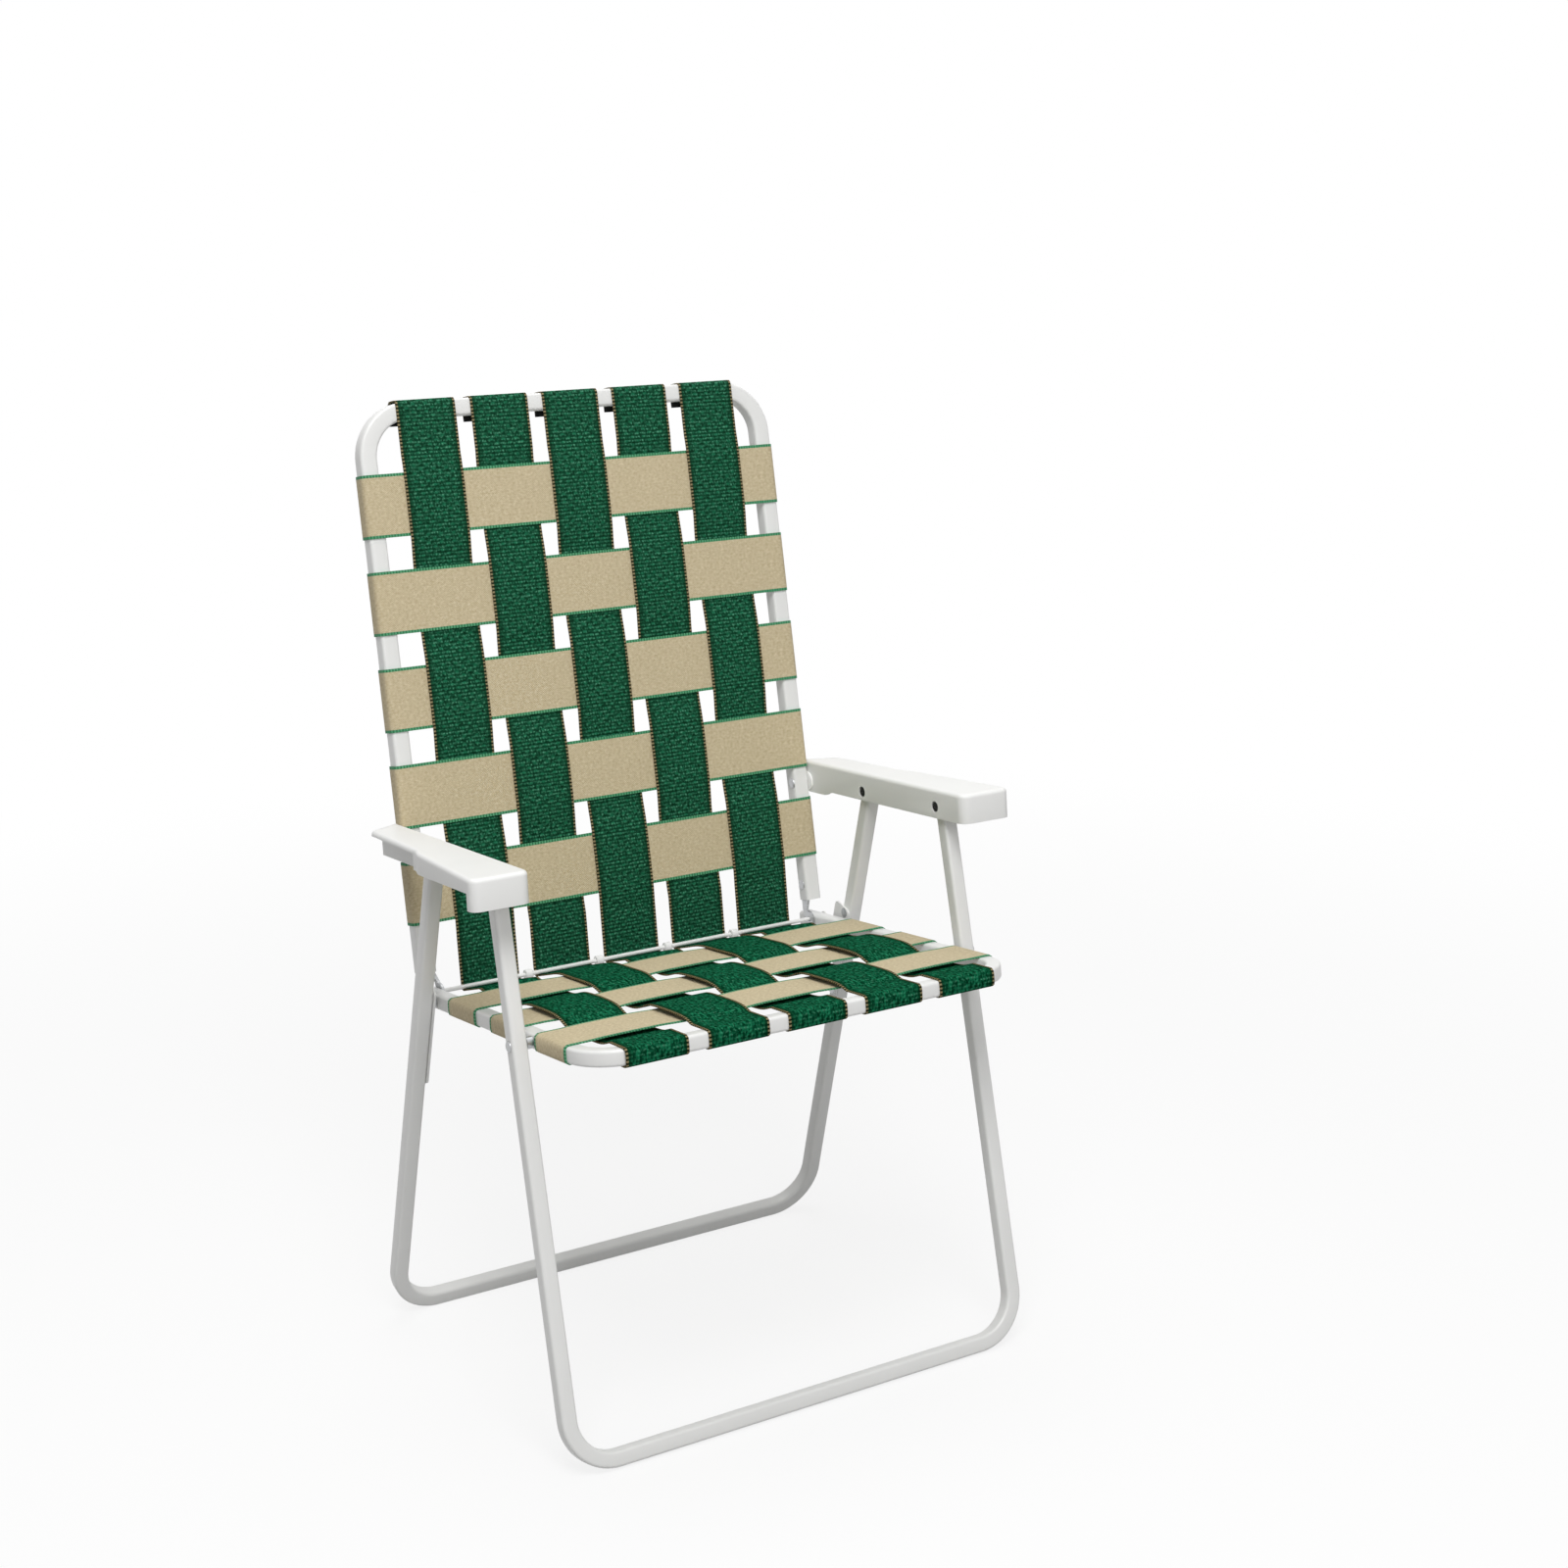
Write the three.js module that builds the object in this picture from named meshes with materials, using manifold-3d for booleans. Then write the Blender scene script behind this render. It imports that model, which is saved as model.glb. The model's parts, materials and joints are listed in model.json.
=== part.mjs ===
// A folding lawn chair: four bent square-tube frames, two moulded armrests and a woven webbing
// seat and back. It stands open. X runs to the right as seen from in front, Y to the rear and Z
// up, in millimetres, with the origin on the floor under the middle of the chair.
import * as THREE from "three";
import { mergeVertices } from "three/addons/utils/BufferGeometryUtils.js";
import Module from "manifold-3d";

const wasm = await Module();
wasm.setup();

// Tube sections
const LEG_TUBE = 14;
const SEAT_TUBE = 14;
const BACK_TUBE = 16;
const TUBE_WALL = 1.2;
const TUBE_EDGE_RADIUS = 2.8;

// Frame widths, between tube centres, and bend radii on the tube centre. The seat and the back
// fit between the legs with a gap on each side for the guide plates and the armrest webs.
const LEG_SPREAD = 447;
const LEG_SIDE_GAP = 7;
const SEAT_SPREAD = LEG_SPREAD - LEG_TUBE - SEAT_TUBE - 2 * LEG_SIDE_GAP;
const BACK_SPREAD = SEAT_SPREAD;
const LEG_BEND = 41;
const SEAT_BEND = 38;
const BACK_BEND = 43;

// Webbing. The straps are spread over the frame's width, and the rows over the length between
// the first row and the gap that is left before the bar.
const WEBBING_WIDTH = 57;
const WEBBING = 1.1;
const COLUMNS = 5;
const BACK_SIDE_MARGIN = 45;
const SEAT_SIDE_MARGIN = 27.5;
const COLUMN_PITCH_BACK = (BACK_SPREAD - BACK_SIDE_MARGIN) / COLUMNS;
const COLUMN_PITCH_SEAT = (SEAT_SPREAD - SEAT_SIDE_MARGIN) / COLUMNS;
const BACK_ROWS = 5;
const BACK_FIRST_ROW = 61.7;
const BACK_TOP_GAP = 56;
const SEAT_ROWS = 3;
const SEAT_FIRST_ROW = 54.2;
const SEAT_FRONT_GAP = 38.2;
const CROWN_BACK = 1.5;
const CROWN_SEAT_REAR = 2.4;
const CROWN_SEAT_FRONT = 4.6;
const CROWN_CROSS = 0.6;
const WRAP_GAP = 0.2;
const END_BAND_HEIGHT = 22;
const END_BAND_MARGIN = 33;

// Seat frame, measured from the hinge along the side rails. It turns on the front legs at
// pivots just behind the front tan strap.
const SEAT_REACH = 325.4;
const PIVOT_BEHIND_STRAP = 6.5;
const PIVOT_BEHIND_FRONT = SEAT_FRONT_GAP + WEBBING_WIDTH + PIVOT_BEHIND_STRAP;
const HINGE_BEHIND_PIVOT = SEAT_REACH - PIVOT_BEHIND_FRONT;
const RAIL_BEHIND_HINGE = 22;
const RAIL_BELOW_HINGE = 2.8;

// Side view of the open chair, with angles in degrees. The feet stand further apart than the
// seat's front pivots and its hinge.
const FEET_PAST_SEAT = 145.3;
const FOOT_GAP = HINGE_BEHIND_PIVOT + FEET_PAST_SEAT;
const FRONT_LEG_LEAN = 13.7;
const REAR_LEG_LEAN = 15.85;
const SEAT_SLOPE = 6.4;
const BACK_LEAN = 11.2;
const SEAT_PIVOT_UP_LEG = 351.7;
const ARM_PIVOT_RISE = 133.7;
const LEG_TOP_PAST_PIVOT = 8;

// Back frame, measured from the hinge up the back
const BACK_LENGTH = 522.3;
const BACK_BEHIND_HINGE = 9.4;
const BACK_END_ABOVE_HINGE = 18;

// Pitch of the tan straps up the back and along the seat
const BACK_ROW_PITCH =
  (BACK_LENGTH - BACK_FIRST_ROW - WEBBING_WIDTH - BACK_TOP_GAP) / (BACK_ROWS - 1);
const SEAT_ROW_PITCH =
  (SEAT_REACH - SEAT_FIRST_ROW - WEBBING_WIDTH - SEAT_FRONT_GAP) / (SEAT_ROWS - 1);

// Folding
const FOLD_ANGLE = 84;
const GUIDE_BEHIND_LEG = 5;

// Armrests
const ARM_WIDTH = 48;
const ARM_TILT = 4.6;
const ARM_AHEAD = 40;
const ARM_PAST_BACK_PIVOT = 8.3;
const ARM_BEHIND = HINGE_BEHIND_PIVOT + ARM_PAST_BACK_PIVOT;
const ARM_FRONT_BLOCK = 113;
const ARM_JOG = 10;
const ARM_TAIL_WIDTH = 32;
const ARM_SKEW = 17;
const ARM_DEPTH = 27;
const ARM_WALL = 3;
const ARM_LIP = 7;
const ARM_HEEL = 4;
const ARM_HEEL_LENGTH = 46;
const ARM_RETURN = 12;
const TAIL_WALL_DEPTH = 22;
const TAIL_WALL_BEHIND_PIVOT = 13;
const ARM_CORNER = 9;
const ARM_TAIL_CORNER = 4;
const ARM_EDGE = 1.2;
const ARM_TOP_OVER_PIVOT = 16.5;
const ARM_RIB_DEPTH = 3.5;
const ARM_INNER_GAP = 1.8;
const BOSS_RADIUS = 7.5;
const BOSS_RISE = 1.2;
const BACK_BOSS_RADIUS = 12;
const RECESS_RADIUS = 4.6;
const RECESS_DEPTH = 1.8;

// Hardware
const ROD_RADIUS = 2.5;
const ROD_COLLAR_RADIUS = 4.6;
const ROD_COLLAR_LENGTH = 7;
const RIVET_RADIUS = 2.4;
const RIVET_HEAD_RADIUS = 4.8;
const RIVET_HEAD = 1.6;
const LOW_RIVET_HEAD = 1;
const PLATE_RIVET_HEAD = 0.8;
const SCREW_HEAD_RADIUS = 4;
const PIN_RADIUS = 3;
const SPACER_RADIUS = 5.2;
const PLATE = 2;
const PLATE_MARGIN = 4.5;
const TONGUE = 2.4;
const TONGUE_WIDTH = 11;
const TONGUE_IN_TUBE = 30;
const TONGUE_EYE_RADIUS = 7.2;
const RUNNING_GAP = 0.3;
const REST_GAP = 0.2;

const COLOURS = {
  frame: { color: 0xf2f2f0, roughness: 0.38, metalness: 0 },
  arm: { color: 0xf6f6f4, roughness: 0.5, metalness: 0 },
  steel: { color: 0xb9bcbe, roughness: 0.35, metalness: 1 },
  green: { color: 0x17553a, roughness: 0.75, metalness: 0 },
  tan: { color: 0xc0ae8a, roughness: 0.8, metalness: 0 },
  band: { color: 0x151515, roughness: 0.8, metalness: 0 },
};

const radians = THREE.MathUtils.degToRad;

// Points of the side view are Vector2 (y, z).
const point = (y, z) => new THREE.Vector2(y, z);
const along = (angle, length) => point(Math.cos(angle) * length, Math.sin(angle) * length);
const turned = (v, angle) => v.clone().rotateAround(point(0, 0), angle);

// Side view of the mechanism

// Half the height of a rounded square tube that leans by an angle.
function leaningHalf(size, lean) {
  const flat = size / 2 - TUBE_EDGE_RADIUS;
  return flat * (Math.cos(lean) + Math.sin(lean)) + TUBE_EDGE_RADIUS;
}

// Where the line through a along direction u meets the line through b along direction v.
function crossing(a, u, b, v) {
  const share = b.clone().sub(a).cross(v) / u.cross(v);
  return a.clone().addScaledVector(u, share);
}

function openLayout() {
  const upFront = along(Math.PI / 2 - radians(FRONT_LEG_LEAN), 1);
  const upRear = along(Math.PI / 2 + radians(REAR_LEG_LEAN), 1);
  const frontFoot = point(0, leaningHalf(LEG_TUBE, radians(FRONT_LEG_LEAN)));
  const rearFoot = point(FOOT_GAP, leaningHalf(LEG_TUBE, radians(REAR_LEG_LEAN)));
  const seatPivot = frontFoot.clone().addScaledVector(upFront, SEAT_PIVOT_UP_LEG);
  const armFront = seatPivot.clone().addScaledVector(upFront, ARM_PIVOT_RISE);
  const railBack = along(-radians(SEAT_SLOPE), 1);
  const railUp = along(Math.PI / 2 - radians(SEAT_SLOPE), 1);
  const hinge = seatPivot
    .clone()
    .addScaledVector(railBack, HINGE_BEHIND_PIVOT)
    .addScaledVector(railUp, RAIL_BELOW_HINGE);
  const armBack = hinge.clone().add(armFront).sub(seatPivot);
  const armRear = crossing(rearFoot, upRear, armFront, armBack.clone().sub(armFront));
  const guidePin = crossing(rearFoot, upRear, seatPivot, railBack).addScaledVector(
    railBack,
    GUIDE_BEHIND_LEG,
  );
  return { frontFoot, rearFoot, seatPivot, armFront, armRear, armBack, hinge, guidePin };
}

const OPEN = openLayout();

// The rear leg's arm pivot, seen from the seat, when the back has folded by an angle. The arm
// stays parallel to the seat, because arm, seat, back and front legs make a parallelogram.
function armRearAt(fold) {
  const backLink = turned(OPEN.armBack.clone().sub(OPEN.hinge), fold);
  return OPEN.hinge.clone().add(backLink).add(OPEN.armRear).sub(OPEN.armBack);
}

// How far the guide pin lies behind the rear leg's centre line, square to it.
const GUIDE_OFFSET = GUIDE_BEHIND_LEG * Math.cos(radians(REAR_LEG_LEAN - SEAT_SLOPE));

function rearLegAngle(fold) {
  const toPin = OPEN.guidePin.clone().sub(armRearAt(fold));
  return toPin.angle() - Math.asin(GUIDE_OFFSET / toPin.length());
}

// The rear legs turn by this share of the back's fold.
const REAR_LEG_SHARE =
  (((rearLegAngle(radians(FOLD_ANGLE)) - rearLegAngle(0) + 2 * Math.PI) % (2 * Math.PI)) /
    radians(FOLD_ANGLE));

// The guide pin's way through the rear leg's plate, in the leg's own frame: y square to the
// leg and z up along it, from the arm pivot.
function guidePath(steps) {
  return Array.from({ length: steps + 1 }, (_, i) => {
    const fold = (radians(FOLD_ANGLE) * i) / steps;
    const toPin = OPEN.guidePin.clone().sub(armRearAt(fold));
    return turned(toPin, -fold * REAR_LEG_SHARE - radians(REAR_LEG_LEAN));
  });
}

// Solids

function manifoldOf(geometry) {
  const bare = geometry.clone();
  bare.deleteAttribute("normal");
  bare.deleteAttribute("uv");
  const merged = mergeVertices(bare, 1e-4);
  return new wasm.Manifold(
    new wasm.Mesh({
      numProp: 3,
      vertProperties: new Float32Array(merged.attributes.position.array),
      triVerts: new Uint32Array(merged.index.array),
    }),
  );
}

function geometryOf(solid) {
  const mesh = solid.getMesh();
  const geometry = new THREE.BufferGeometry();
  geometry.setAttribute("position", new THREE.BufferAttribute(mesh.vertProperties, 3));
  geometry.setIndex(new THREE.BufferAttribute(mesh.triVerts, 1));
  const faceted = geometry.toNonIndexed();
  faceted.computeVertexNormals();
  return faceted;
}

function joined(first, ...others) {
  return geometryOf(others.reduce((sum, g) => sum.add(manifoldOf(g)), manifoldOf(first)));
}

function cut(first, ...tools) {
  return geometryOf(tools.reduce((rest, g) => rest.subtract(manifoldOf(g)), manifoldOf(first)));
}

function common(first, second) {
  return geometryOf(manifoldOf(first).intersect(manifoldOf(second)));
}

function extruded(shape, depth) {
  return new THREE.ExtrudeGeometry(shape, { depth, bevelEnabled: false, curveSegments: 5 });
}

// An outline of (y, z) points extruded along X from x0 to x1.
function acrossX(shape, x0, x1) {
  const geometry = extruded(shape, x1 - x0);
  geometry.rotateX(Math.PI / 2);
  geometry.rotateZ(Math.PI / 2);
  return geometry.translate(x0, 0, 0);
}

// A turned piece on the X axis, from a profile of [x, radius] pairs.
function turnedPiece(profile, segments = 12) {
  const points = profile.map(([x, radius]) => new THREE.Vector2(radius, x));
  return new THREE.LatheGeometry(points, segments).rotateZ(-Math.PI / 2);
}

function drill(x0, x1, radius, y = 0, z = 0) {
  return turnedPiece([[x0, 0], [x0, radius], [x1, radius], [x1, 0]]).translate(0, y, z);
}

function roundedSquare(size, radius) {
  const half = size / 2;
  const flat = half - radius;
  const shape = new THREE.Shape();
  shape.moveTo(half, -flat);
  shape.lineTo(half, flat);
  shape.absarc(flat, flat, radius, 0, Math.PI / 2);
  shape.lineTo(-flat, half);
  shape.absarc(-flat, flat, radius, Math.PI / 2, Math.PI);
  shape.lineTo(-half, -flat);
  shape.absarc(-flat, -flat, radius, Math.PI, 1.5 * Math.PI);
  shape.lineTo(flat, -half);
  shape.absarc(flat, -flat, radius, 1.5 * Math.PI, 2 * Math.PI);
  return shape;
}

// A path in the XZ plane whose samples are its own stations, so that a straight stretch takes
// one step however long it is.
class StationPath extends THREE.Curve {
  constructor(stations) {
    super();
    this.stations = stations;
  }

  station(t) {
    return this.stations[Math.round(t * (this.stations.length - 1))];
  }

  getPointAt(t) {
    const { x, z } = this.station(t);
    return new THREE.Vector3(x, 0, z);
  }

  getPoint(t) {
    return this.getPointAt(t);
  }

  getTangentAt(t) {
    const { heading } = this.station(t);
    return new THREE.Vector3(Math.cos(heading), 0, Math.sin(heading));
  }

  getSpacedPoints() {
    return this.stations.map((_, i) => this.getPointAt(i / (this.stations.length - 1)));
  }
}

// A U of square tube in the XZ plane, open at the top: legs at x = -+spread / 2 that reach up
// to z = height, and a bar at z = 0 between two bends.
function bentTube(size, spread, height, bend) {
  const bendSteps = 7;
  const corner = (centreX, from) =>
    Array.from({ length: bendSteps + 1 }, (_, i) => {
      const angle = from + ((Math.PI / 2) * i) / bendSteps;
      return {
        x: centreX + bend * Math.cos(angle),
        z: bend + bend * Math.sin(angle),
        heading: angle + Math.PI / 2,
      };
    });
  const inset = spread / 2 - bend;
  const stations = [
    { x: -spread / 2, z: height, heading: -Math.PI / 2 },
    ...corner(-inset, Math.PI),
    ...corner(inset, 1.5 * Math.PI),
    { x: spread / 2, z: height, heading: Math.PI / 2 },
  ];
  const section = roundedSquare(size, TUBE_EDGE_RADIUS);
  section.holes.push(roundedSquare(size - 2 * TUBE_WALL, TUBE_EDGE_RADIUS - TUBE_WALL));
  return new THREE.ExtrudeGeometry(section, {
    steps: stations.length - 1,
    extrudePath: new StationPath(stations),
    curveSegments: 2,
  });
}

// A strip of webbing: a line of (a, b) points given a thickness in its own plane.
function stripShape(line, thickness) {
  const side = (sign) =>
    line.map((p, i) => {
      const before = line[Math.max(i - 1, 0)];
      const after = line[Math.min(i + 1, line.length - 1)];
      const normal = after.clone().sub(before).normalize();
      const inner = p.clone().sub(before).normalize();
      const mitre = i > 0 && i < line.length - 1 ? 1 / Math.max(normal.dot(inner), 0.7) : 1;
      return p.clone().add(point(-normal.y, normal.x).multiplyScalar((sign * mitre * thickness) / 2));
    });
  return new THREE.Shape([...side(-1), ...side(1).reverse()]);
}

function arcPoints(centreY, centreZ, radius, from, to, steps) {
  return Array.from({ length: steps + 1 }, (_, i) => {
    const angle = from + ((to - from) * i) / steps;
    return point(centreY + radius * Math.cos(angle), centreZ + radius * Math.sin(angle));
  });
}

// The rounded square line that webbing follows round a tube, corner by corner. Corner 0 is at
// +a +b and they run anticlockwise.
function wrapCorner(size, index) {
  const flat = size / 2 - TUBE_EDGE_RADIUS;
  const radius = TUBE_EDGE_RADIUS + WRAP_GAP + WEBBING / 2;
  const signA = index === 0 || index === 3 ? 1 : -1;
  const signB = index < 2 ? 1 : -1;
  return arcPoints(
    signA * flat,
    signB * flat,
    radius,
    (index * Math.PI) / 2,
    ((index + 1) * Math.PI) / 2,
    3,
  );
}

const wrapLevel = (size) => size / 2 + WRAP_GAP + WEBBING / 2;

// Rise of a strap where it crosses the others: a flat-topped wave that turns between rows.
function weave(position, firstCentre, pitch, count, phase) {
  const turn = (position - firstCentre) / pitch;
  if (turn < -0.5 || turn > count - 0.5) {
    return 0;
  }
  const steepness = 2.2;
  const wave = Math.tanh(steepness * Math.cos(Math.PI * turn)) / Math.tanh(steepness);
  return phase * wave;
}

function weaveLine(from, to, steps, height) {
  return Array.from({ length: steps + 1 }, (_, i) => {
    const position = from + ((to - from) * i) / steps;
    return point(position, height(position));
  });
}

// Which strap is on top: green where row and column are both odd or both even, rows counted
// from the top of the back and columns from the left as seen from in front.
const greenPhase = (row, column) => ((row + column) % 2 === 0 ? 1 : -1);

// Webbing

// A tan strap across a frame: round the outside of both side tubes and woven between them. Its
// line lies in (x, n), with n square to the frame towards the sitter.
function crossStrap(tube, spread, columnPitch, row) {
  const level = wrapLevel(tube);
  const half = spread / 2;
  const tuck = tube / 2 - TUBE_EDGE_RADIUS;
  const firstCentre = (-(COLUMNS - 1) / 2) * columnPitch;
  const rise = (x) =>
    level - weave(x, firstCentre, columnPitch, COLUMNS, greenPhase(row, 1)) * CROWN_CROSS;
  const reach = (COLUMNS / 2) * columnPitch;
  const left = [
    point(-half + tuck, -level),
    ...wrapCorner(tube, 2).reverse().map((p) => p.add(point(-half, 0))),
    ...wrapCorner(tube, 1).reverse().map((p) => p.add(point(-half, 0))),
  ];
  const right = left.map((p) => point(-p.x, p.y)).reverse();
  const middle = weaveLine(-reach, reach, COLUMNS * 6, rise);
  return stripShape([...left, ...middle, ...right], WEBBING);
}

// A green strap on the back, in (n, z): z up the back from the hinge and n towards the sitter.
function backStrapLine(column) {
  const level = wrapLevel(BACK_TUBE) - BACK_BEHIND_HINGE;
  const firstCentre = BACK_FIRST_ROW + WEBBING_WIDTH / 2;
  const phase = greenPhase(BACK_ROWS, column);
  const reach = BACK_FIRST_ROW + WEBBING_WIDTH / 2 - BACK_ROW_PITCH / 2;
  const behindRod = ROD_RADIUS + RUNNING_GAP + WEBBING / 2;
  const top = BACK_FIRST_ROW + WEBBING_WIDTH / 2 + (BACK_ROWS - 0.5) * BACK_ROW_PITCH;
  const rise = (z) =>
    level + weave(z, firstCentre, BACK_ROW_PITCH, BACK_ROWS, phase) * CROWN_BACK;
  const woven = weaveLine(reach, top, BACK_ROWS * 7, rise).map((p) => point(p.y, p.x));
  const wrap = [0, 1].flatMap((i) => wrapCorner(BACK_TUBE, i)).map((p) =>
    p.add(point(-BACK_BEHIND_HINGE, BACK_LENGTH)),
  );
  const tail = point(-wrapLevel(BACK_TUBE) - BACK_BEHIND_HINGE, BACK_LENGTH - BACK_TUBE / 2);
  return [point(-behindRod, 2 * behindRod), ...woven, ...wrap, tail];
}

// A green strap on the seat, in (y, z) from the hinge, y to the rear along the rails.
function seatStrapLine(column) {
  const level = wrapLevel(SEAT_TUBE) - RAIL_BELOW_HINGE;
  const underRod = ROD_RADIUS + RUNNING_GAP + WEBBING / 2;
  const firstCentre = SEAT_FIRST_ROW + WEBBING_WIDTH / 2;
  const phase = greenPhase(BACK_ROWS + 1, column);
  const start = firstCentre - SEAT_ROW_PITCH / 2;
  const end = firstCentre + (SEAT_ROWS - 0.5) * SEAT_ROW_PITCH;
  const crown = (y) =>
    THREE.MathUtils.mapLinear(
      THREE.MathUtils.clamp(y, firstCentre, firstCentre + SEAT_ROW_PITCH),
      firstCentre,
      firstCentre + SEAT_ROW_PITCH,
      CROWN_SEAT_REAR,
      CROWN_SEAT_FRONT,
    );
  const rise = (y) =>
    level + weave(y, firstCentre, SEAT_ROW_PITCH, SEAT_ROWS, phase) * crown(y);
  const woven = weaveLine(start, end, SEAT_ROWS * 8, rise).map((p) => point(-p.x, p.y));
  const rod = arcPoints(0, 0, underRod, 0, -Math.PI / 2, 4);
  const wrap = [1, 2].flatMap((i) => wrapCorner(SEAT_TUBE, i)).map((p) =>
    p.add(point(-SEAT_REACH, -RAIL_BELOW_HINGE)),
  );
  const tail = point(
    SEAT_TUBE / 2 - TUBE_EDGE_RADIUS - SEAT_REACH,
    -wrapLevel(SEAT_TUBE) - RAIL_BELOW_HINGE,
  );
  return [...rod, ...woven, ...wrap, tail];
}

const columnShare = (column) => column - (COLUMNS + 1) / 2;

// The green straps splay a little towards the seat's front.
function splayed(geometry, column) {
  const spread = columnShare(column) * (COLUMN_PITCH_SEAT - COLUMN_PITCH_BACK);
  const position = geometry.getAttribute("position");
  for (let i = 0; i < position.count; i += 1) {
    const share = THREE.MathUtils.clamp(-position.getY(i) / SEAT_REACH, 0, 1);
    position.setX(i, position.getX(i) + spread * share);
  }
  return geometry;
}

function greenBackStrap(column) {
  const line = backStrapLine(column).map((p) => point(-p.x, p.y));
  const centre = columnShare(column) * COLUMN_PITCH_BACK;
  const shape = stripShape(line, WEBBING);
  return acrossX(shape, centre - WEBBING_WIDTH / 2, centre + WEBBING_WIDTH / 2);
}

function greenSeatStrap(column) {
  const centre = columnShare(column) * COLUMN_PITCH_BACK;
  const shape = stripShape(seatStrapLine(column), WEBBING);
  const strap = acrossX(shape, centre - WEBBING_WIDTH / 2, centre + WEBBING_WIDTH / 2);
  return splayed(strap, column);
}

// Back row 1 is the top one.
function tanBackStrap(row) {
  const low = BACK_FIRST_ROW + (BACK_ROWS - row) * BACK_ROW_PITCH;
  const strap = extruded(crossStrap(BACK_TUBE, BACK_SPREAD, COLUMN_PITCH_BACK, row), WEBBING_WIDTH);
  return strap.rotateX(Math.PI).translate(0, BACK_BEHIND_HINGE, low + WEBBING_WIDTH);
}

// Seat row 1 is the rear one.
function tanSeatStrap(row) {
  const rear = SEAT_FIRST_ROW + (row - 1) * SEAT_ROW_PITCH;
  const pitch = THREE.MathUtils.lerp(
    COLUMN_PITCH_BACK,
    COLUMN_PITCH_SEAT,
    (rear + WEBBING_WIDTH / 2) / SEAT_REACH,
  );
  const shape = crossStrap(SEAT_TUBE, SEAT_SPREAD, pitch, BACK_ROWS + row);
  const strap = extruded(shape, WEBBING_WIDTH).rotateX(Math.PI / 2);
  return strap.translate(0, -rear, -RAIL_BELOW_HINGE);
}

function strapEndBand() {
  const front = BACK_BEHIND_HINGE + wrapLevel(BACK_TUBE) + WEBBING / 2 + WRAP_GAP;
  const top = BACK_LENGTH + BACK_TUBE / 2;
  const shape = new THREE.Shape([
    point(front, top - END_BAND_HEIGHT),
    point(front + WEBBING, top - END_BAND_HEIGHT),
    point(front + WEBBING, top),
    point(front, top),
  ]);
  const half = (BACK_SPREAD - END_BAND_MARGIN) / 2;
  return acrossX(shape, -half, half);
}

// Frames

function bothSides(make) {
  return [-1, 1].map((side) => make(side));
}

const RIVET_HOLE = RIVET_RADIUS + RUNNING_GAP / 2;

function sideDrills(spread, size, radius, y, z) {
  const inner = spread / 2 - size;
  const outer = spread / 2 + size;
  return bothSides((side) =>
    drill(side > 0 ? inner : -outer, side > 0 ? outer : -inner, radius, y, z),
  );
}

function frontLegFrame() {
  const armPivot = SEAT_PIVOT_UP_LEG + ARM_PIVOT_RISE;
  const tube = bentTube(LEG_TUBE, LEG_SPREAD, armPivot + LEG_TOP_PAST_PIVOT, LEG_BEND);
  return cut(
    tube,
    ...sideDrills(LEG_SPREAD, LEG_TUBE, RIVET_HOLE, 0, armPivot),
    ...sideDrills(LEG_SPREAD, LEG_TUBE, RIVET_HOLE, 0, SEAT_PIVOT_UP_LEG),
  );
}

const REAR_PIVOT_UP_LEG = OPEN.armRear.distanceTo(OPEN.rearFoot);

function rearLegFrame() {
  const tube = bentTube(LEG_TUBE, LEG_SPREAD, REAR_PIVOT_UP_LEG + LEG_TOP_PAST_PIVOT, LEG_BEND);
  return cut(
    tube,
    ...sideDrills(LEG_SPREAD, LEG_TUBE, RIVET_HOLE, 0, REAR_PIVOT_UP_LEG),
    ...guideRivetHeights().flatMap((z) => plateRivetDrills(REAR_PIVOT_UP_LEG + z)),
  );
}

// The seat pivot in the seat's own frame.
const SEAT_PIVOT = turned(OPEN.seatPivot.clone().sub(OPEN.hinge), radians(SEAT_SLOPE));
const GUIDE_PIN = turned(OPEN.guidePin.clone().sub(OPEN.hinge), radians(SEAT_SLOPE));

function seatFrame() {
  const height = SEAT_REACH + RAIL_BEHIND_HINGE;
  const tube = bentTube(SEAT_TUBE, SEAT_SPREAD, height, SEAT_BEND);
  tube.rotateX(-Math.PI / 2).translate(0, -SEAT_REACH, -RAIL_BELOW_HINGE);
  const outerWall = SEAT_SPREAD / 2;
  return cut(
    tube,
    ...sideDrills(SEAT_SPREAD, SEAT_TUBE, ROD_RADIUS + RUNNING_GAP / 2, 0, 0),
    ...sideDrills(SEAT_SPREAD, SEAT_TUBE, RIVET_HOLE, SEAT_PIVOT.x, SEAT_PIVOT.y),
    ...bothSides((side) =>
      drill(
        side > 0 ? outerWall : -outerWall - SEAT_TUBE,
        side > 0 ? outerWall + SEAT_TUBE : -outerWall,
        PIN_RADIUS + RUNNING_GAP / 2,
        GUIDE_PIN.x,
        GUIDE_PIN.y,
      ),
    ),
  );
}

// The arm pivot on the back, in the back's own frame.
const BACK_PIVOT = turned(OPEN.armBack.clone().sub(OPEN.hinge), radians(BACK_LEAN));
const TONGUE_RIVET = BACK_END_ABOVE_HINGE + TONGUE_IN_TUBE / 2;

function backFrame() {
  const height = BACK_LENGTH - BACK_END_ABOVE_HINGE;
  const tube = bentTube(BACK_TUBE, BACK_SPREAD, height, BACK_BEND);
  tube.rotateX(Math.PI).translate(0, BACK_BEHIND_HINGE, BACK_LENGTH);
  return cut(
    tube,
    ...sideDrills(BACK_SPREAD, BACK_TUBE, RIVET_HOLE, BACK_PIVOT.x, BACK_PIVOT.y),
    ...bothSides((side) => tongueRivetDrill(side)),
  );
}

// Hinges and guides

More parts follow.
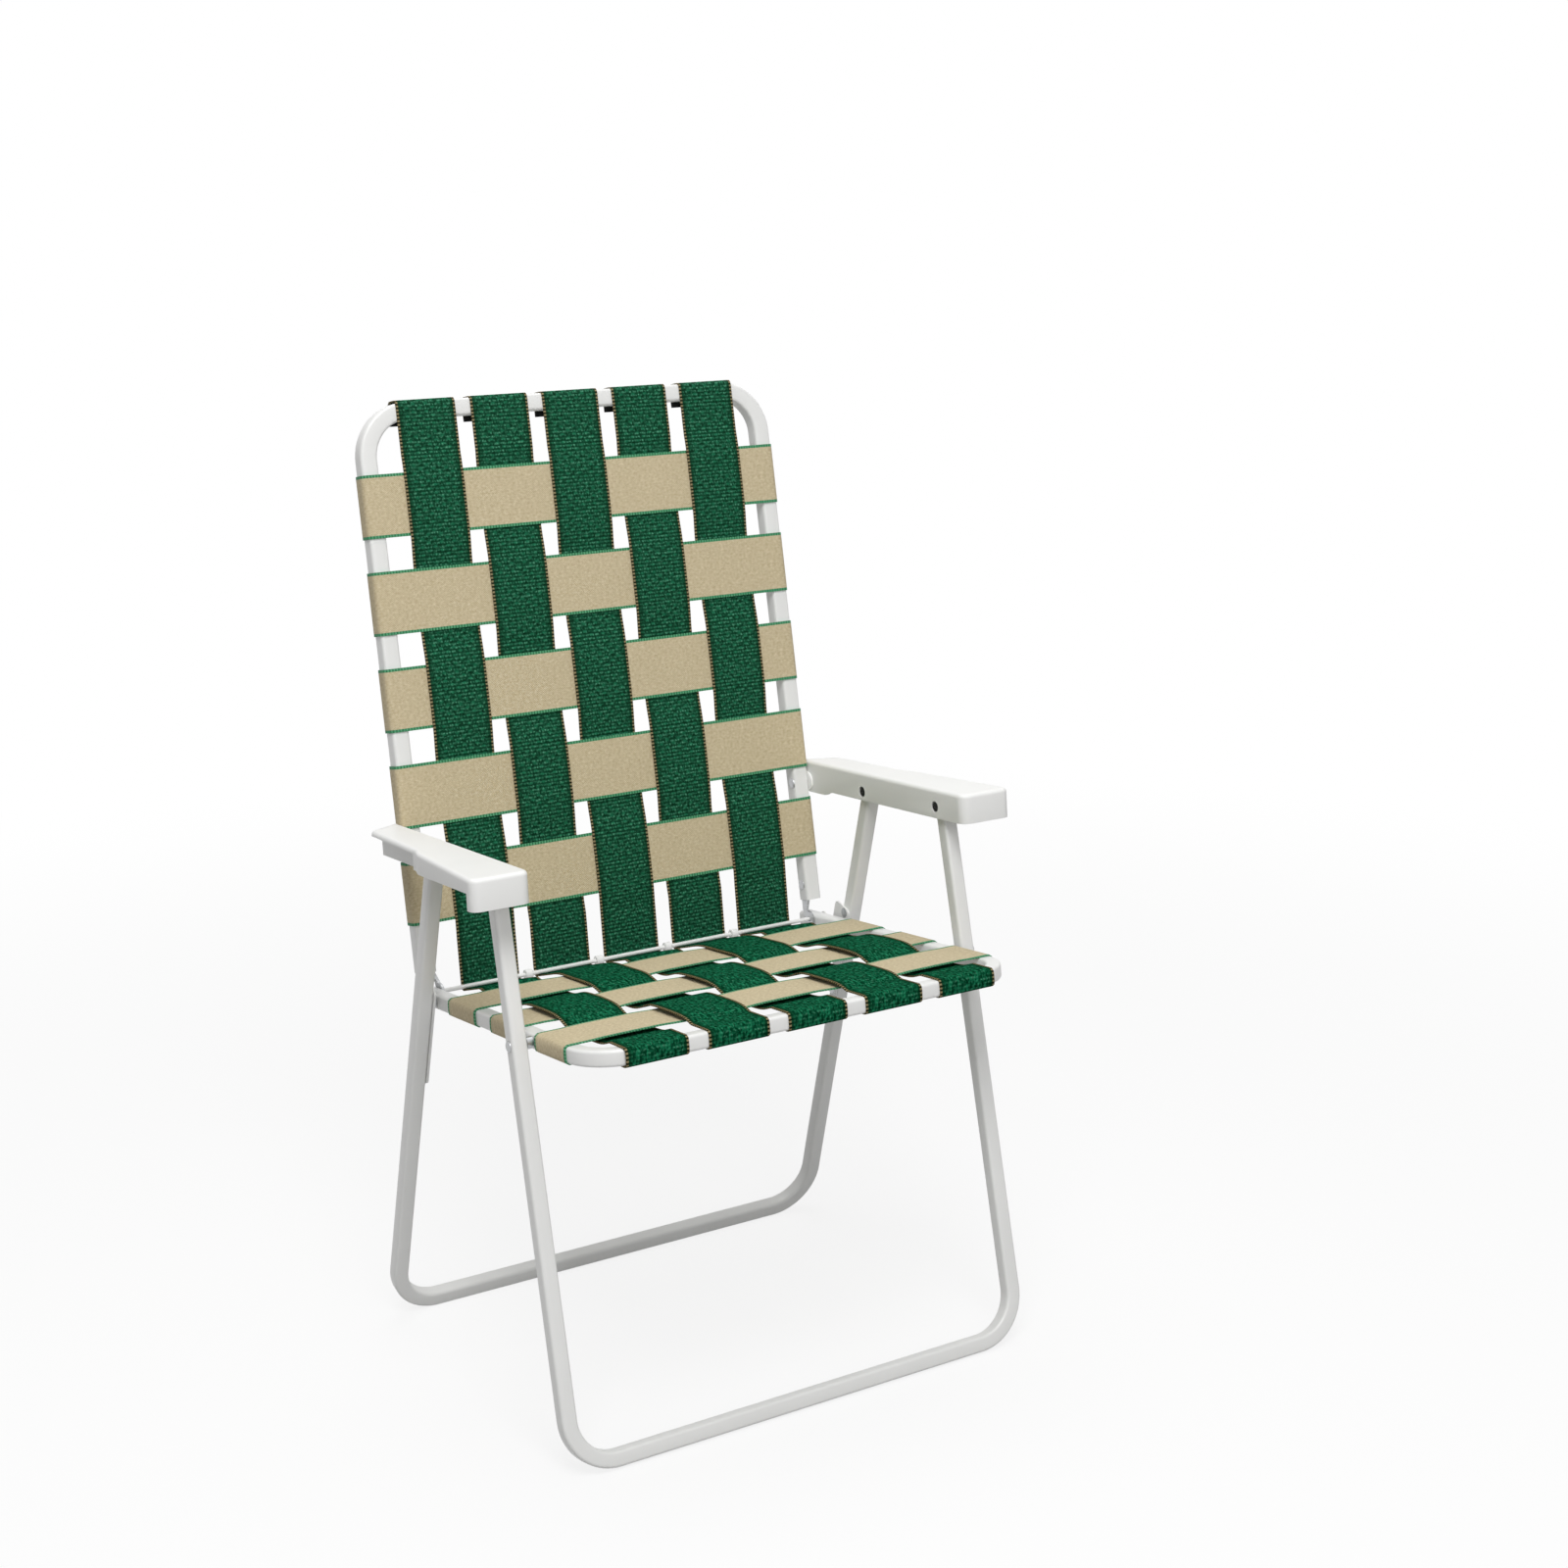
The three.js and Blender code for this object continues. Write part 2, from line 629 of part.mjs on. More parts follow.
// A straight rivet on X between two faces, with a domed head outside each.
function rivet(x0, x1, radius = RIVET_RADIUS, headRadius = RIVET_HEAD_RADIUS, head = RIVET_HEAD) {
  const dome = 0.62;
  return turnedPiece([
    [x0 - head, 0],
    [x0 - head, headRadius * dome],
    [x0 - head * dome, headRadius * 0.9],
    [x0, headRadius],
    [x0, radius],
    [x1, radius],
    [x1, headRadius],
    [x1 + head * dome, headRadius * 0.9],
    [x1 + head, headRadius * dome],
    [x1 + head, 0],
  ]);
}

// A piece that is the same when turned half round can be turned to make the other side's.
const mirrored = (geometry, side) => (side > 0 ? geometry : geometry.clone().rotateY(Math.PI));

// The other side's hand of a piece: its mirror image, with its faces turned to face out.
function otherHand(geometry) {
  const flipped = geometry.clone().scale(-1, 1, 1);
  const position = flipped.getAttribute("position");
  const corner = new THREE.Vector3();
  for (let i = 0; i < position.count; i += 3) {
    corner.fromBufferAttribute(position, i);
    position.copyAt(i, position, i + 1);
    position.setXYZ(i + 1, corner.x, corner.y, corner.z);
  }
  flipped.computeVertexNormals();
  return flipped;
}

function seatPivotRivet(side) {
  const inner = (SEAT_SPREAD - SEAT_TUBE) / 2 - REST_GAP;
  const outer = (LEG_SPREAD + LEG_TUBE) / 2 + REST_GAP;
  return mirrored(rivet(inner, outer), side);
}

function seatPivotSpacer(side) {
  const inner = (SEAT_SPREAD + SEAT_TUBE) / 2 + REST_GAP;
  const outer = (LEG_SPREAD - LEG_TUBE) / 2 - REST_GAP;
  const ring = turnedPiece([
    [inner, RIVET_HOLE],
    [inner, SPACER_RADIUS],
    [outer, SPACER_RADIUS],
    [outer, RIVET_HOLE],
    [inner, RIVET_HOLE],
  ]);
  return mirrored(ring, side);
}

const PLATE_OUTER = (LEG_SPREAD - LEG_TUBE) / 2 - REST_GAP;
const PLATE_INNER = PLATE_OUTER - PLATE;

function guidePin(side) {
  const wall = (SEAT_SPREAD + SEAT_TUBE) / 2;
  const tip = PLATE_OUTER - REST_GAP;
  const pin = turnedPiece([
    [wall - TUBE_WALL - REST_GAP - RIVET_HEAD, 0],
    [wall - TUBE_WALL - REST_GAP - RIVET_HEAD, RIVET_HEAD_RADIUS],
    [wall - TUBE_WALL - REST_GAP, RIVET_HEAD_RADIUS],
    [wall - TUBE_WALL - REST_GAP, PIN_RADIUS],
    [wall + REST_GAP, PIN_RADIUS],
    [wall + REST_GAP, SPACER_RADIUS],
    [wall + REST_GAP + RIVET_HEAD, SPACER_RADIUS],
    [wall + REST_GAP + RIVET_HEAD, PIN_RADIUS],
    [tip, PIN_RADIUS],
    [tip, 0],
  ]);
  return mirrored(pin, side);
}

// The slotted plate on the inner face of each rear leg, in the leg's frame from its arm pivot.
function guidePlateOutline() {
  const path = guidePath(8);
  const slot = PIN_RADIUS + RUNNING_GAP;
  const rims = path.map((p) => p.x);
  const front = -LEG_TUBE / 2;
  const rear = Math.max(...rims) + slot + PLATE_MARGIN;
  const top = path[0].y + slot + PLATE_MARGIN + 2 * RIVET_HEAD_RADIUS;
  const bottom = path[path.length - 1].y - slot - PLATE_MARGIN - 2 * RIVET_HEAD_RADIUS;
  return { path, slot, front, rear, top, bottom };
}

function guideRivetHeights() {
  const { top, bottom } = guidePlateOutline();
  return [top - RIVET_HEAD_RADIUS - REST_GAP, bottom + RIVET_HEAD_RADIUS + REST_GAP];
}

function plateRivetDrills(z) {
  return bothSides((side) =>
    mirrored(drill(PLATE_INNER - PLATE, LEG_SPREAD / 2, RIVET_HOLE), side).translate(0, 0, z),
  );
}

function roundedBox(x0, x1, y0, y1, radius) {
  const shape = new THREE.Shape();
  shape.moveTo(x1, y0 + radius);
  shape.lineTo(x1, y1 - radius);
  shape.absarc(x1 - radius, y1 - radius, radius, 0, Math.PI / 2);
  shape.lineTo(x0 + radius, y1);
  shape.absarc(x0 + radius, y1 - radius, radius, Math.PI / 2, Math.PI);
  shape.lineTo(x0, y0 + radius);
  shape.absarc(x0 + radius, y0 + radius, radius, Math.PI, 1.5 * Math.PI);
  shape.lineTo(x1 - radius, y0);
  shape.absarc(x1 - radius, y0 + radius, radius, 1.5 * Math.PI, 2 * Math.PI);
  return shape;
}

function guidePlate(side) {
  const { path, slot, front, rear, top, bottom } = guidePlateOutline();
  const outline = roundedBox(front, rear, bottom, top, PLATE_MARGIN);
  const heading = (a, b) => b.clone().sub(a).angle();
  const startAngle = heading(path[1], path[0]);
  const endAngle = heading(path[path.length - 2], path[path.length - 1]);
  const flank = (sign) =>
    path.map((p, i) => {
      const ahead = path[Math.min(i + 1, path.length - 1)];
      const behind = path[Math.max(i - 1, 0)];
      const angle = heading(behind, ahead) + (sign * Math.PI) / 2;
      return p.clone().add(along(angle, slot));
    });
  const quarter = Math.PI / 2;
  const startCap = arcPoints(path[0].x, path[0].y, slot, startAngle - quarter, startAngle + quarter, 8);
  const last = path[path.length - 1];
  const endCap = arcPoints(last.x, last.y, slot, endAngle - quarter, endAngle + quarter, 8);
  outline.holes.push(
    new THREE.Path([...startCap, ...flank(-1).slice(1, -1), ...endCap, ...flank(1).slice(1, -1).reverse()]),
  );
  const x0 = side > 0 ? PLATE_INNER : -PLATE_OUTER;
  const plate = acrossX(outline, x0, x0 + PLATE);
  const holes = guideRivetHeights().map((z) =>
    drill(x0 - PLATE, x0 + 2 * PLATE, RIVET_HOLE, 0, z),
  );
  return cut(plate, ...holes);
}

function plateRivet(side) {
  const outside = PLATE_INNER - REST_GAP / 2;
  const inside = (LEG_SPREAD - LEG_TUBE) / 2 + TUBE_WALL + REST_GAP;
  return mirrored(rivet(outside, inside, RIVET_RADIUS, RIVET_HEAD_RADIUS, PLATE_RIVET_HEAD), side);
}

// The cross rod that is the axle of seat and back, with collars that keep the straps apart.
function hingeRod() {
  const end = (SEAT_SPREAD + SEAT_TUBE) / 2 + REST_GAP;
  const collars = Array.from({ length: COLUMNS - 1 }, (_, i) => (i + 1 - COLUMNS / 2) * COLUMN_PITCH_BACK);
  const steps = collars.flatMap((x) => [
    [x - ROD_COLLAR_LENGTH / 2, ROD_RADIUS],
    [x - ROD_COLLAR_LENGTH / 2, ROD_COLLAR_RADIUS],
    [x + ROD_COLLAR_LENGTH / 2, ROD_COLLAR_RADIUS],
    [x + ROD_COLLAR_LENGTH / 2, ROD_RADIUS],
  ]);
  return turnedPiece([
    [-end - RIVET_HEAD, 0],
    [-end - RIVET_HEAD, RIVET_HEAD_RADIUS],
    [-end, RIVET_HEAD_RADIUS],
    [-end, ROD_RADIUS],
    ...steps,
    [end, ROD_RADIUS],
    [end, RIVET_HEAD_RADIUS],
    [end + RIVET_HEAD, RIVET_HEAD_RADIUS],
    [end + RIVET_HEAD, 0],
  ]);
}

// The bent steel tongue that runs from inside the back tube to the rod, beside the seat rail.
const TONGUE_IN_TUBE_X = (BACK_SPREAD - BACK_TUBE) / 2 + TUBE_WALL + REST_GAP;
const TONGUE_AT_ROD_X = (SEAT_SPREAD - SEAT_TUBE) / 2 - RUNNING_GAP - TONGUE;

function hingeTongue(side) {
  const top = BACK_END_ABOVE_HINGE + TONGUE_IN_TUBE;
  const bottom = -2 * TONGUE_EYE_RADIUS;
  const jogTop = BACK_END_ABOVE_HINGE - REST_GAP;
  const jogBottom = TONGUE_EYE_RADIUS + TONGUE / 2;
  const bent = new THREE.Shape([
    point(TONGUE_AT_ROD_X, bottom),
    point(TONGUE_AT_ROD_X + TONGUE, bottom),
    point(TONGUE_AT_ROD_X + TONGUE, jogBottom),
    point(TONGUE_IN_TUBE_X + TONGUE, jogTop - TONGUE / 2),
    point(TONGUE_IN_TUBE_X + TONGUE, top),
    point(TONGUE_IN_TUBE_X, top),
    point(TONGUE_IN_TUBE_X, jogTop),
    point(TONGUE_AT_ROD_X, jogBottom + TONGUE / 2),
  ]);
  const strip = extruded(bent, 2 * BACK_TUBE + 2 * BACK_BEHIND_HINGE)
    .rotateX(Math.PI / 2)
    .translate(0, BACK_TUBE + 2 * BACK_BEHIND_HINGE, 0);
  const near = BACK_BEHIND_HINGE - TONGUE_WIDTH / 2;
  const far = BACK_BEHIND_HINGE + TONGUE_WIDTH / 2;
  const outline = new THREE.Shape();
  outline.moveTo(near, top);
  outline.lineTo(near, jogTop);
  outline.quadraticCurveTo(near, TONGUE_EYE_RADIUS, 0, TONGUE_EYE_RADIUS);
  outline.absarc(0, 0, TONGUE_EYE_RADIUS, Math.PI / 2, 2 * Math.PI);
  outline.quadraticCurveTo(TONGUE_EYE_RADIUS, TONGUE_EYE_RADIUS, far, jogTop);
  outline.lineTo(far, top);
  const reach = BACK_SPREAD;
  const eye = drill(0, reach, ROD_RADIUS + RUNNING_GAP / 2);
  const rivetHole = drill(0, reach, RIVET_HOLE, BACK_BEHIND_HINGE, TONGUE_RIVET);
  const tongue = cut(common(strip, acrossX(outline, 0, reach)), eye, rivetHole);
  return side > 0 ? tongue : otherHand(tongue);
}

const TONGUE_RIVET_X = [
  (BACK_SPREAD - BACK_TUBE) / 2 - REST_GAP,
  TONGUE_IN_TUBE_X + TONGUE + REST_GAP,
];

function tongueRivet(side) {
  const [outside, inside] = TONGUE_RIVET_X;
  return mirrored(rivet(outside, inside, RIVET_RADIUS, RIVET_HEAD_RADIUS, LOW_RIVET_HEAD), side);
}

function tongueRivetDrill(side) {
  const hole = drill((BACK_SPREAD - 2 * BACK_TUBE) / 2, BACK_SPREAD / 2, RIVET_HOLE);
  return mirrored(hole, side).translate(0, BACK_BEHIND_HINGE, TONGUE_RIVET);
}

// Armrests

const ARM_INNER = (BACK_SPREAD + BACK_TUBE) / 2 + ARM_INNER_GAP;
const ARM_LENGTH = ARM_AHEAD + ARM_BEHIND;

// Outline of the top plate in (x, y), x outwards from the inner edge and y from the front.
function armPlan(inset) {
  const r = ARM_CORNER - inset;
  const q = ARM_TAIL_CORNER - inset / 2;
  const side = ARM_WIDTH - inset;
  const neck = ARM_WIDTH - ARM_JOG - inset;
  const tail = ARM_TAIL_WIDTH - inset;
  const rearOuter = ARM_LENGTH - ARM_SKEW - inset;
  const rearInner = ARM_LENGTH - inset;
  const slope = (rearInner - rearOuter) / (tail - inset);
  const plan = new THREE.Shape();
  plan.moveTo(inset + r, inset);
  plan.lineTo(side - r, inset);
  plan.absarc(side - r, inset + r, r, -Math.PI / 2, 0);
  plan.lineTo(side, ARM_FRONT_BLOCK - r);
  plan.bezierCurveTo(side, ARM_FRONT_BLOCK, neck, ARM_FRONT_BLOCK, neck, ARM_FRONT_BLOCK + r);
  plan.lineTo(tail, rearOuter - q);
  plan.quadraticCurveTo(tail, rearOuter, tail - q, rearOuter + q * slope);
  plan.lineTo(inset + q, rearInner - q * slope);
  plan.quadraticCurveTo(inset, rearInner, inset, rearInner - q);
  plan.lineTo(inset, inset + r);
  plan.absarc(inset + r, inset + r, r, Math.PI, Math.PI * 1.5);
  return plan;
}

function armPlate() {
  const plate = new THREE.ExtrudeGeometry(armPlan(ARM_EDGE), {
    depth: ARM_WALL - 2 * ARM_EDGE,
    bevelSize: ARM_EDGE,
    bevelThickness: ARM_EDGE,
    bevelSegments: 2,
    curveSegments: 4,
  });
  return plate.translate(0, 0, ARM_EDGE - ARM_WALL);
}

// The wall under the plate's rim: the plan with its inside taken out, down to a depth.
function armRim(depth) {
  const outer = extruded(armPlan(ARM_EDGE / 4), depth - ARM_WALL / 2);
  const inner = extruded(armPlan(ARM_WALL), depth + ARM_WALL).translate(0, 0, -ARM_WALL);
  return cut(outer, inner).translate(0, 0, -depth);
}

function block(x0, x1, y0, y1, z0, z1) {
  return new THREE.BoxGeometry(x1 - x0, y1 - y0, z1 - z0).translate(
    (x0 + x1) / 2,
    (y0 + y1) / 2,
    (z0 + z1) / 2,
  );
}

// Places of the three pivots in the armrest's frame, as (y, z) from its front top edge.
const ARM_ORIGIN = OPEN.armFront
  .clone()
  .add(turned(point(-ARM_AHEAD, ARM_TOP_OVER_PIVOT), -radians(ARM_TILT)));
const inArm = (p) => turned(p.clone().sub(ARM_ORIGIN), radians(ARM_TILT));
const ARM_PIVOTS = [OPEN.armFront, OPEN.armRear, OPEN.armBack].map(inArm);

// The inner web, whose deeper rear end is rounded about the back pivot.
function armWeb() {
  const [, , back] = ARM_PIVOTS;
  const rear = ARM_LENGTH - ARM_EDGE;
  const heel = ARM_DEPTH + ARM_HEEL;
  const heelStart = ARM_LENGTH - ARM_HEEL_LENGTH;
  const web = new THREE.Shape();
  web.moveTo(ARM_CORNER, -ARM_WALL / 2);
  web.lineTo(ARM_CORNER, -ARM_DEPTH);
  web.lineTo(heelStart - 2 * ARM_HEEL, -ARM_DEPTH);
  web.bezierCurveTo(heelStart, -ARM_DEPTH, heelStart, -heel, heelStart + 2 * ARM_HEEL, -heel);
  web.lineTo(back.x - ARM_EDGE, -heel);
  web.quadraticCurveTo(rear, -heel, rear, -heel / 2);
  web.lineTo(rear, -ARM_WALL / 2);
  return acrossX(web, ARM_EDGE / 4, ARM_WALL);
}

// The full-depth block at the front: a front wall and a short return on both sides, cut from
// the full-depth rim.
function armFrontWall() {
  const keep = block(0, ARM_WIDTH, 0, ARM_RETURN, -ARM_DEPTH, 0);
  return common(armRim(ARM_DEPTH), keep);
}

// Behind the rear leg the tail has an outer wall in line with the leg's outer face, closed at
// the rear by a wall across to the web.
function armTailWalls() {
  const [, rear, back] = ARM_PIVOTS;
  const out = (LEG_SPREAD + LEG_TUBE) / 2 - ARM_INNER + RUNNING_GAP + ARM_WALL;
  const start = rear.x + TAIL_WALL_BEHIND_PIVOT;
  const end = back.x - RIVET_HEAD_RADIUS - ARM_WALL / 2;
  const top = -ARM_WALL / 2;
  return [
    block(out - ARM_WALL, out, start, end, -TAIL_WALL_DEPTH, top),
    block(ARM_WALL / 2, out, end - ARM_WALL, end, -TAIL_WALL_DEPTH, top),
  ];
}

function armRibs() {
  const shares = [0.36, 0.62, 0.84];
  return shares.map((share) => {
    const y = share * ARM_LENGTH;
    const width = THREE.MathUtils.lerp(ARM_WIDTH, ARM_TAIL_WIDTH, share) - ARM_WALL;
    return block(ARM_WALL / 2, width, y, y + ARM_WALL / 2, -ARM_WALL - ARM_RIB_DEPTH, -ARM_WALL / 2);
  });
}

// One armrest in its own frame: x outwards from the inner edge, y from the front, z up from
// the top face.
function armrestBody() {
  const bossEnd = ARM_WALL + BOSS_RISE;
  const [front, rear, back] = ARM_PIVOTS;
  const bosses = [front, rear].map((p) => drill(ARM_EDGE, bossEnd, BOSS_RADIUS, p.x, p.y));
  const backBoss = drill(REST_GAP - ARM_INNER_GAP, ARM_EDGE, BACK_BOSS_RADIUS, back.x, back.y);
  const solid = joined(
    armPlate(),
    armRim(ARM_LIP),
    armFrontWall(),
    armWeb(),
    ...armTailWalls(),
    ...armRibs(),
    ...bosses,
    backBoss,
  );
  const holes = ARM_PIVOTS.map((p) => drill(-ARM_WALL, 2 * ARM_WALL, RIVET_HOLE, p.x, p.y));
  const recesses = [front, rear].map((p) => {
    return drill(-ARM_WALL, RECESS_DEPTH, RECESS_RADIUS, p.x, p.y);
  });
  return cut(solid, ...holes, ...recesses);
}

function armrest(side) {
  const body = armrestBody().translate(ARM_INNER, 0, 0);
  return side > 0 ? body : otherHand(body);
}

// A screw from the recess in the web through the top of a leg, with its nut outside.
function armScrew(side) {
  const seat = ARM_INNER + RECESS_DEPTH - REST_GAP;
  const nut = (LEG_SPREAD + LEG_TUBE) / 2 + REST_GAP;
  const nutDepth = 2 * RIVET_HEAD;
  const screw = turnedPiece([
    [seat - RIVET_HEAD, 0],
    [seat - RIVET_HEAD, SCREW_HEAD_RADIUS * 0.8],
    [seat, SCREW_HEAD_RADIUS],
    [seat, RIVET_RADIUS],
    [nut, RIVET_RADIUS],
    [nut, SCREW_HEAD_RADIUS],
    [nut + nutDepth, SCREW_HEAD_RADIUS],
    [nut + nutDepth, 0],
  ]);
  return mirrored(screw, side);
}

function armBackRivet(side) {
  const inner = (BACK_SPREAD - BACK_TUBE) / 2 - REST_GAP;
  return mirrored(rivet(inner, ARM_INNER + ARM_WALL + REST_GAP), side);
}

// Assembly

function meshOf(name, geometry, colour) {
  const mesh = new THREE.Mesh(geometry, new THREE.MeshStandardMaterial(COLOURS[colour]));
  mesh.name = name;
  return mesh;
}

function groupAt(name, place, tilt, ...meshes) {
  const group = new THREE.Group();
  group.name = name;
  group.position.set(0, place.x, place.y);
  group.rotation.x = tilt;
  group.add(...meshes);
  return group;
}

const SIDES = [
  ["left", -1],
  ["right", 1],
];

function perSide(name, make, colour, y = 0, z = 0) {
  return SIDES.map(([label, side]) => {
    const mesh = meshOf(`${name}_${label}`, make(side), colour);
    mesh.position.set(0, y, z);
    return mesh;
  });
}

function numbered(count, make) {
  return Array.from({ length: count }, (_, i) => make(i + 1));
}

const seat = groupAt(
  "seat",
  OPEN.hinge,
  -radians(SEAT_SLOPE),
  meshOf("seat_frame", seatFrame(), "frame"),
  meshOf("hinge_rod", hingeRod(), "frame"),
  ...perSide("guide_pin", guidePin, "steel", GUIDE_PIN.x, GUIDE_PIN.y),
  ...perSide("seat_pivot_rivet", seatPivotRivet, "steel", SEAT_PIVOT.x, SEAT_PIVOT.y),
  ...perSide("seat_pivot_spacer", seatPivotSpacer, "steel", SEAT_PIVOT.x, SEAT_PIVOT.y),
  ...numbered(COLUMNS, (i) => meshOf(`green_seat_strap_${i}`, greenSeatStrap(i), "green")),
  ...numbered(SEAT_ROWS, (i) => meshOf(`tan_seat_strap_${i}`, tanSeatStrap(i), "tan")),
);

const back = groupAt(
  "back",
  OPEN.hinge,
  -radians(BACK_LEAN),
  meshOf("back_frame", backFrame(), "frame"),
  ...perSide("hinge_tongue", hingeTongue, "frame"),
  ...perSide("tongue_rivet", tongueRivet, "steel", BACK_BEHIND_HINGE, TONGUE_RIVET),
  ...numbered(COLUMNS, (i) => meshOf(`green_back_strap_${i}`, greenBackStrap(i), "green")),
  ...numbered(BACK_ROWS, (i) => meshOf(`tan_back_strap_${i}`, tanBackStrap(i), "tan")),
  meshOf("strap_end_band", strapEndBand(), "band"),
);

const frontLegs = groupAt(
  "front_legs",
  OPEN.frontFoot,
  -radians(FRONT_LEG_LEAN),
  meshOf("front_leg_frame", frontLegFrame(), "frame"),
);

const plates = groupAt(
  "guides",
  point(0, REAR_PIVOT_UP_LEG),
  0,
  ...perSide("guide_plate", guidePlate, "frame"),
  ...guideRivetHeights().flatMap((z, i) =>
    perSide(`guide_plate_rivet_${i + 1}`, plateRivet, "steel", 0, z),
  ),
);

const rearLegs = groupAt(
  "rear_legs",
  OPEN.rearFoot,
  radians(REAR_LEG_LEAN),
  meshOf("rear_leg_frame", rearLegFrame(), "frame"),
  plates,
);

const arms = groupAt(
  "arms",
  ARM_ORIGIN,
  -radians(ARM_TILT),
  ...perSide("armrest", armrest, "arm"),
  ...perSide("arm_front_screw", armScrew, "steel", ARM_PIVOTS[0].x, ARM_PIVOTS[0].y),
  ...perSide("arm_rear_screw", armScrew, "steel", ARM_PIVOTS[1].x, ARM_PIVOTS[1].y),
  ...perSide("arm_back_rivet", armBackRivet, "steel", ARM_PIVOTS[2].x, ARM_PIVOTS[2].y),
);

const chair = new THREE.Group();
chair.name = "folding_webbed_lawn_chair";
chair.add(seat, back, frontLegs, rearLegs, arms);

// The origin is on the floor under the middle of the open chair.
const box = new THREE.Box3().setFromObject(chair, true);
chair.position.set(0, -(box.min.y + box.max.y) / 2, -box.min.z);

export default chair;
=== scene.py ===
"""Dresses the folding lawn chair: square tube frames, moulded armrests, steel fittings and the
woven green and tan webbing, on a pale studio floor. Lengths are in metres."""

import json
import math

import bpy
from mathutils import Matrix, Vector


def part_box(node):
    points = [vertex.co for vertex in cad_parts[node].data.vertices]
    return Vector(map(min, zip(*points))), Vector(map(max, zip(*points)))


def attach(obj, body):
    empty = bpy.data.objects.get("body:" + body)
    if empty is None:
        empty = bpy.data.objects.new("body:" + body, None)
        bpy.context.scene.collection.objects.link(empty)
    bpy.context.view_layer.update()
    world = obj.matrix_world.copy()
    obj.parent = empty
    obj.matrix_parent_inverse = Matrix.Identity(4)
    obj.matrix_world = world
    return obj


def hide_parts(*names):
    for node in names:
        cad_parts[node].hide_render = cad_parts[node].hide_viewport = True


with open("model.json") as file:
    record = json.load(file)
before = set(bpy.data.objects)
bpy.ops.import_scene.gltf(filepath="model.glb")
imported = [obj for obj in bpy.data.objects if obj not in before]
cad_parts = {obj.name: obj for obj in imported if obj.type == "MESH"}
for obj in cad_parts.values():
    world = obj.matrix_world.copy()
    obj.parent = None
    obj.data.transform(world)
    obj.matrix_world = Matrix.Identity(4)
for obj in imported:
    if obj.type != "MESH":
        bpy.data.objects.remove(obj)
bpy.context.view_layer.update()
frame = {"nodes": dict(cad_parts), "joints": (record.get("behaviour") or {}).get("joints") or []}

# Tubes, as in the chair's drawing
LEG_TUBE = 0.014
SEAT_TUBE = 0.014
BACK_TUBE = 0.016
TUBE_WALL = 0.0012
TUBE_CORNER = 0.0028
LEG_SPREAD = 0.447
SEAT_SPREAD = 0.405
BACK_SPREAD = 0.405
LEG_BEND = 0.041
SEAT_BEND = 0.038
BACK_BEND = 0.043
FRONT_LEG_BELOW_PIVOT = 0.3517
FRONT_LEG_ABOVE_PIVOT = 0.1417
REAR_LEG_BELOW_PIVOT = 0.47732
REAR_LEG_ABOVE_PIVOT = 0.008
SEAT_REACH = 0.3254
RAIL_BEHIND_HINGE = 0.022
RAIL_BELOW_HINGE = 0.0028
BACK_LENGTH = 0.5223
BACK_BEHIND_HINGE = 0.0094
BACK_END_ABOVE_HINGE = 0.018

# Leans of the open chair, in degrees
SEAT_SLOPE = 6.4
BACK_LEAN = 11.2
FRONT_LEG_LEAN = 13.7
REAR_LEG_LEAN = 15.85
ARM_TILT = 4.6

# Webbing
WIDTH = 0.057
WEBBING = 0.0011
RIB_PITCH = 0.0033
TAN_THREAD = 0.002
COLUMNS = 5
BACK_PITCH = 0.072
SEAT_PITCH = 0.0755
BACK_ROWS = 5
BACK_ROW_PITCH = 0.0869
BACK_FIRST_ROW = 0.0617
SEAT_ROWS = 3
SEAT_ROW_PITCH = 0.088
SEAT_FIRST_ROW = 0.0542
CROWN_BACK = 0.0015
CROWN_SEAT_REAR = 0.0024
CROWN_SEAT_FRONT = 0.0046
CROWN_CROSS = 0.0006
WEAVE_FLATNESS = 2.2
WRAP_GAP = 0.0002
ROD_CLEAR = 0.0028
BACK_STRAP_LOW = 0.0007
STRAP_STEP = 0.003
TAPE_HEIGHT = 0.0195
TAPE_BELOW_TOP = 0.0015

# Fittings
CLEARANCE = 0.0002
ROD_HALF = 0.2097
ROD_RADIUS = 0.002
COLLAR_RADIUS = 0.0046
COLLAR_HALF = 0.0035
PIN_RADIUS = 0.003
PIN_TIP_GAP = 0.0004
SPACER_RADIUS = 0.0052
TURNED_EDGE = 0.0005
RIVET_RADIUS = 0.0024
RIVET_HEAD_RADIUS = 0.0048
RIVET_HEAD = 0.0016
LOW_RIVET_HEAD = 0.001
PLATE_RIVET_HEAD = 0.0008
TONGUE = 0.0024
PLATE = 0.002
SCREW_RADIUS = 0.0024
SCREW_HEAD_RADIUS = 0.0046
NUT_RADIUS = 0.004
NUT_HEIGHT = 0.0032
HEAD_EDGE = 0.0004

# Armrests
ARM_ORIGIN = (0, -0.13059, 0.49958)
ARM_INNER = 0.2123
ARM_WIDTH = 0.053
ARM_LENGTH = 0.278
ARM_DEPTH = 0.027
ARM_WALL = 0.003
ARM_LIP = 0.0045
LIP_WALL = 0.0025
BLOCK_LIP_FRONT = 0.0127
BLOCK_LIP_REAR = 0.0187
ARM_RETURN = 0.012
ARM_BLOCK = 0.1455
ARM_BLOCK_REAR = 0.0405
ARM_JOG = 0.0045
ARM_JOG_RUN = 0.013
BLOCK_LIP_END = ARM_BLOCK + 0.0125
ARM_TAIL = 0.032
ARM_SKEW = 0.017
ARM_HEEL_START = 0.232
ARM_EDGE = 0.0036
ARM_CORNER = 0.009
JOG_CORNER = 0.0046
TAIL_CORNER = 0.004
SMALL_EDGE = 0.0009
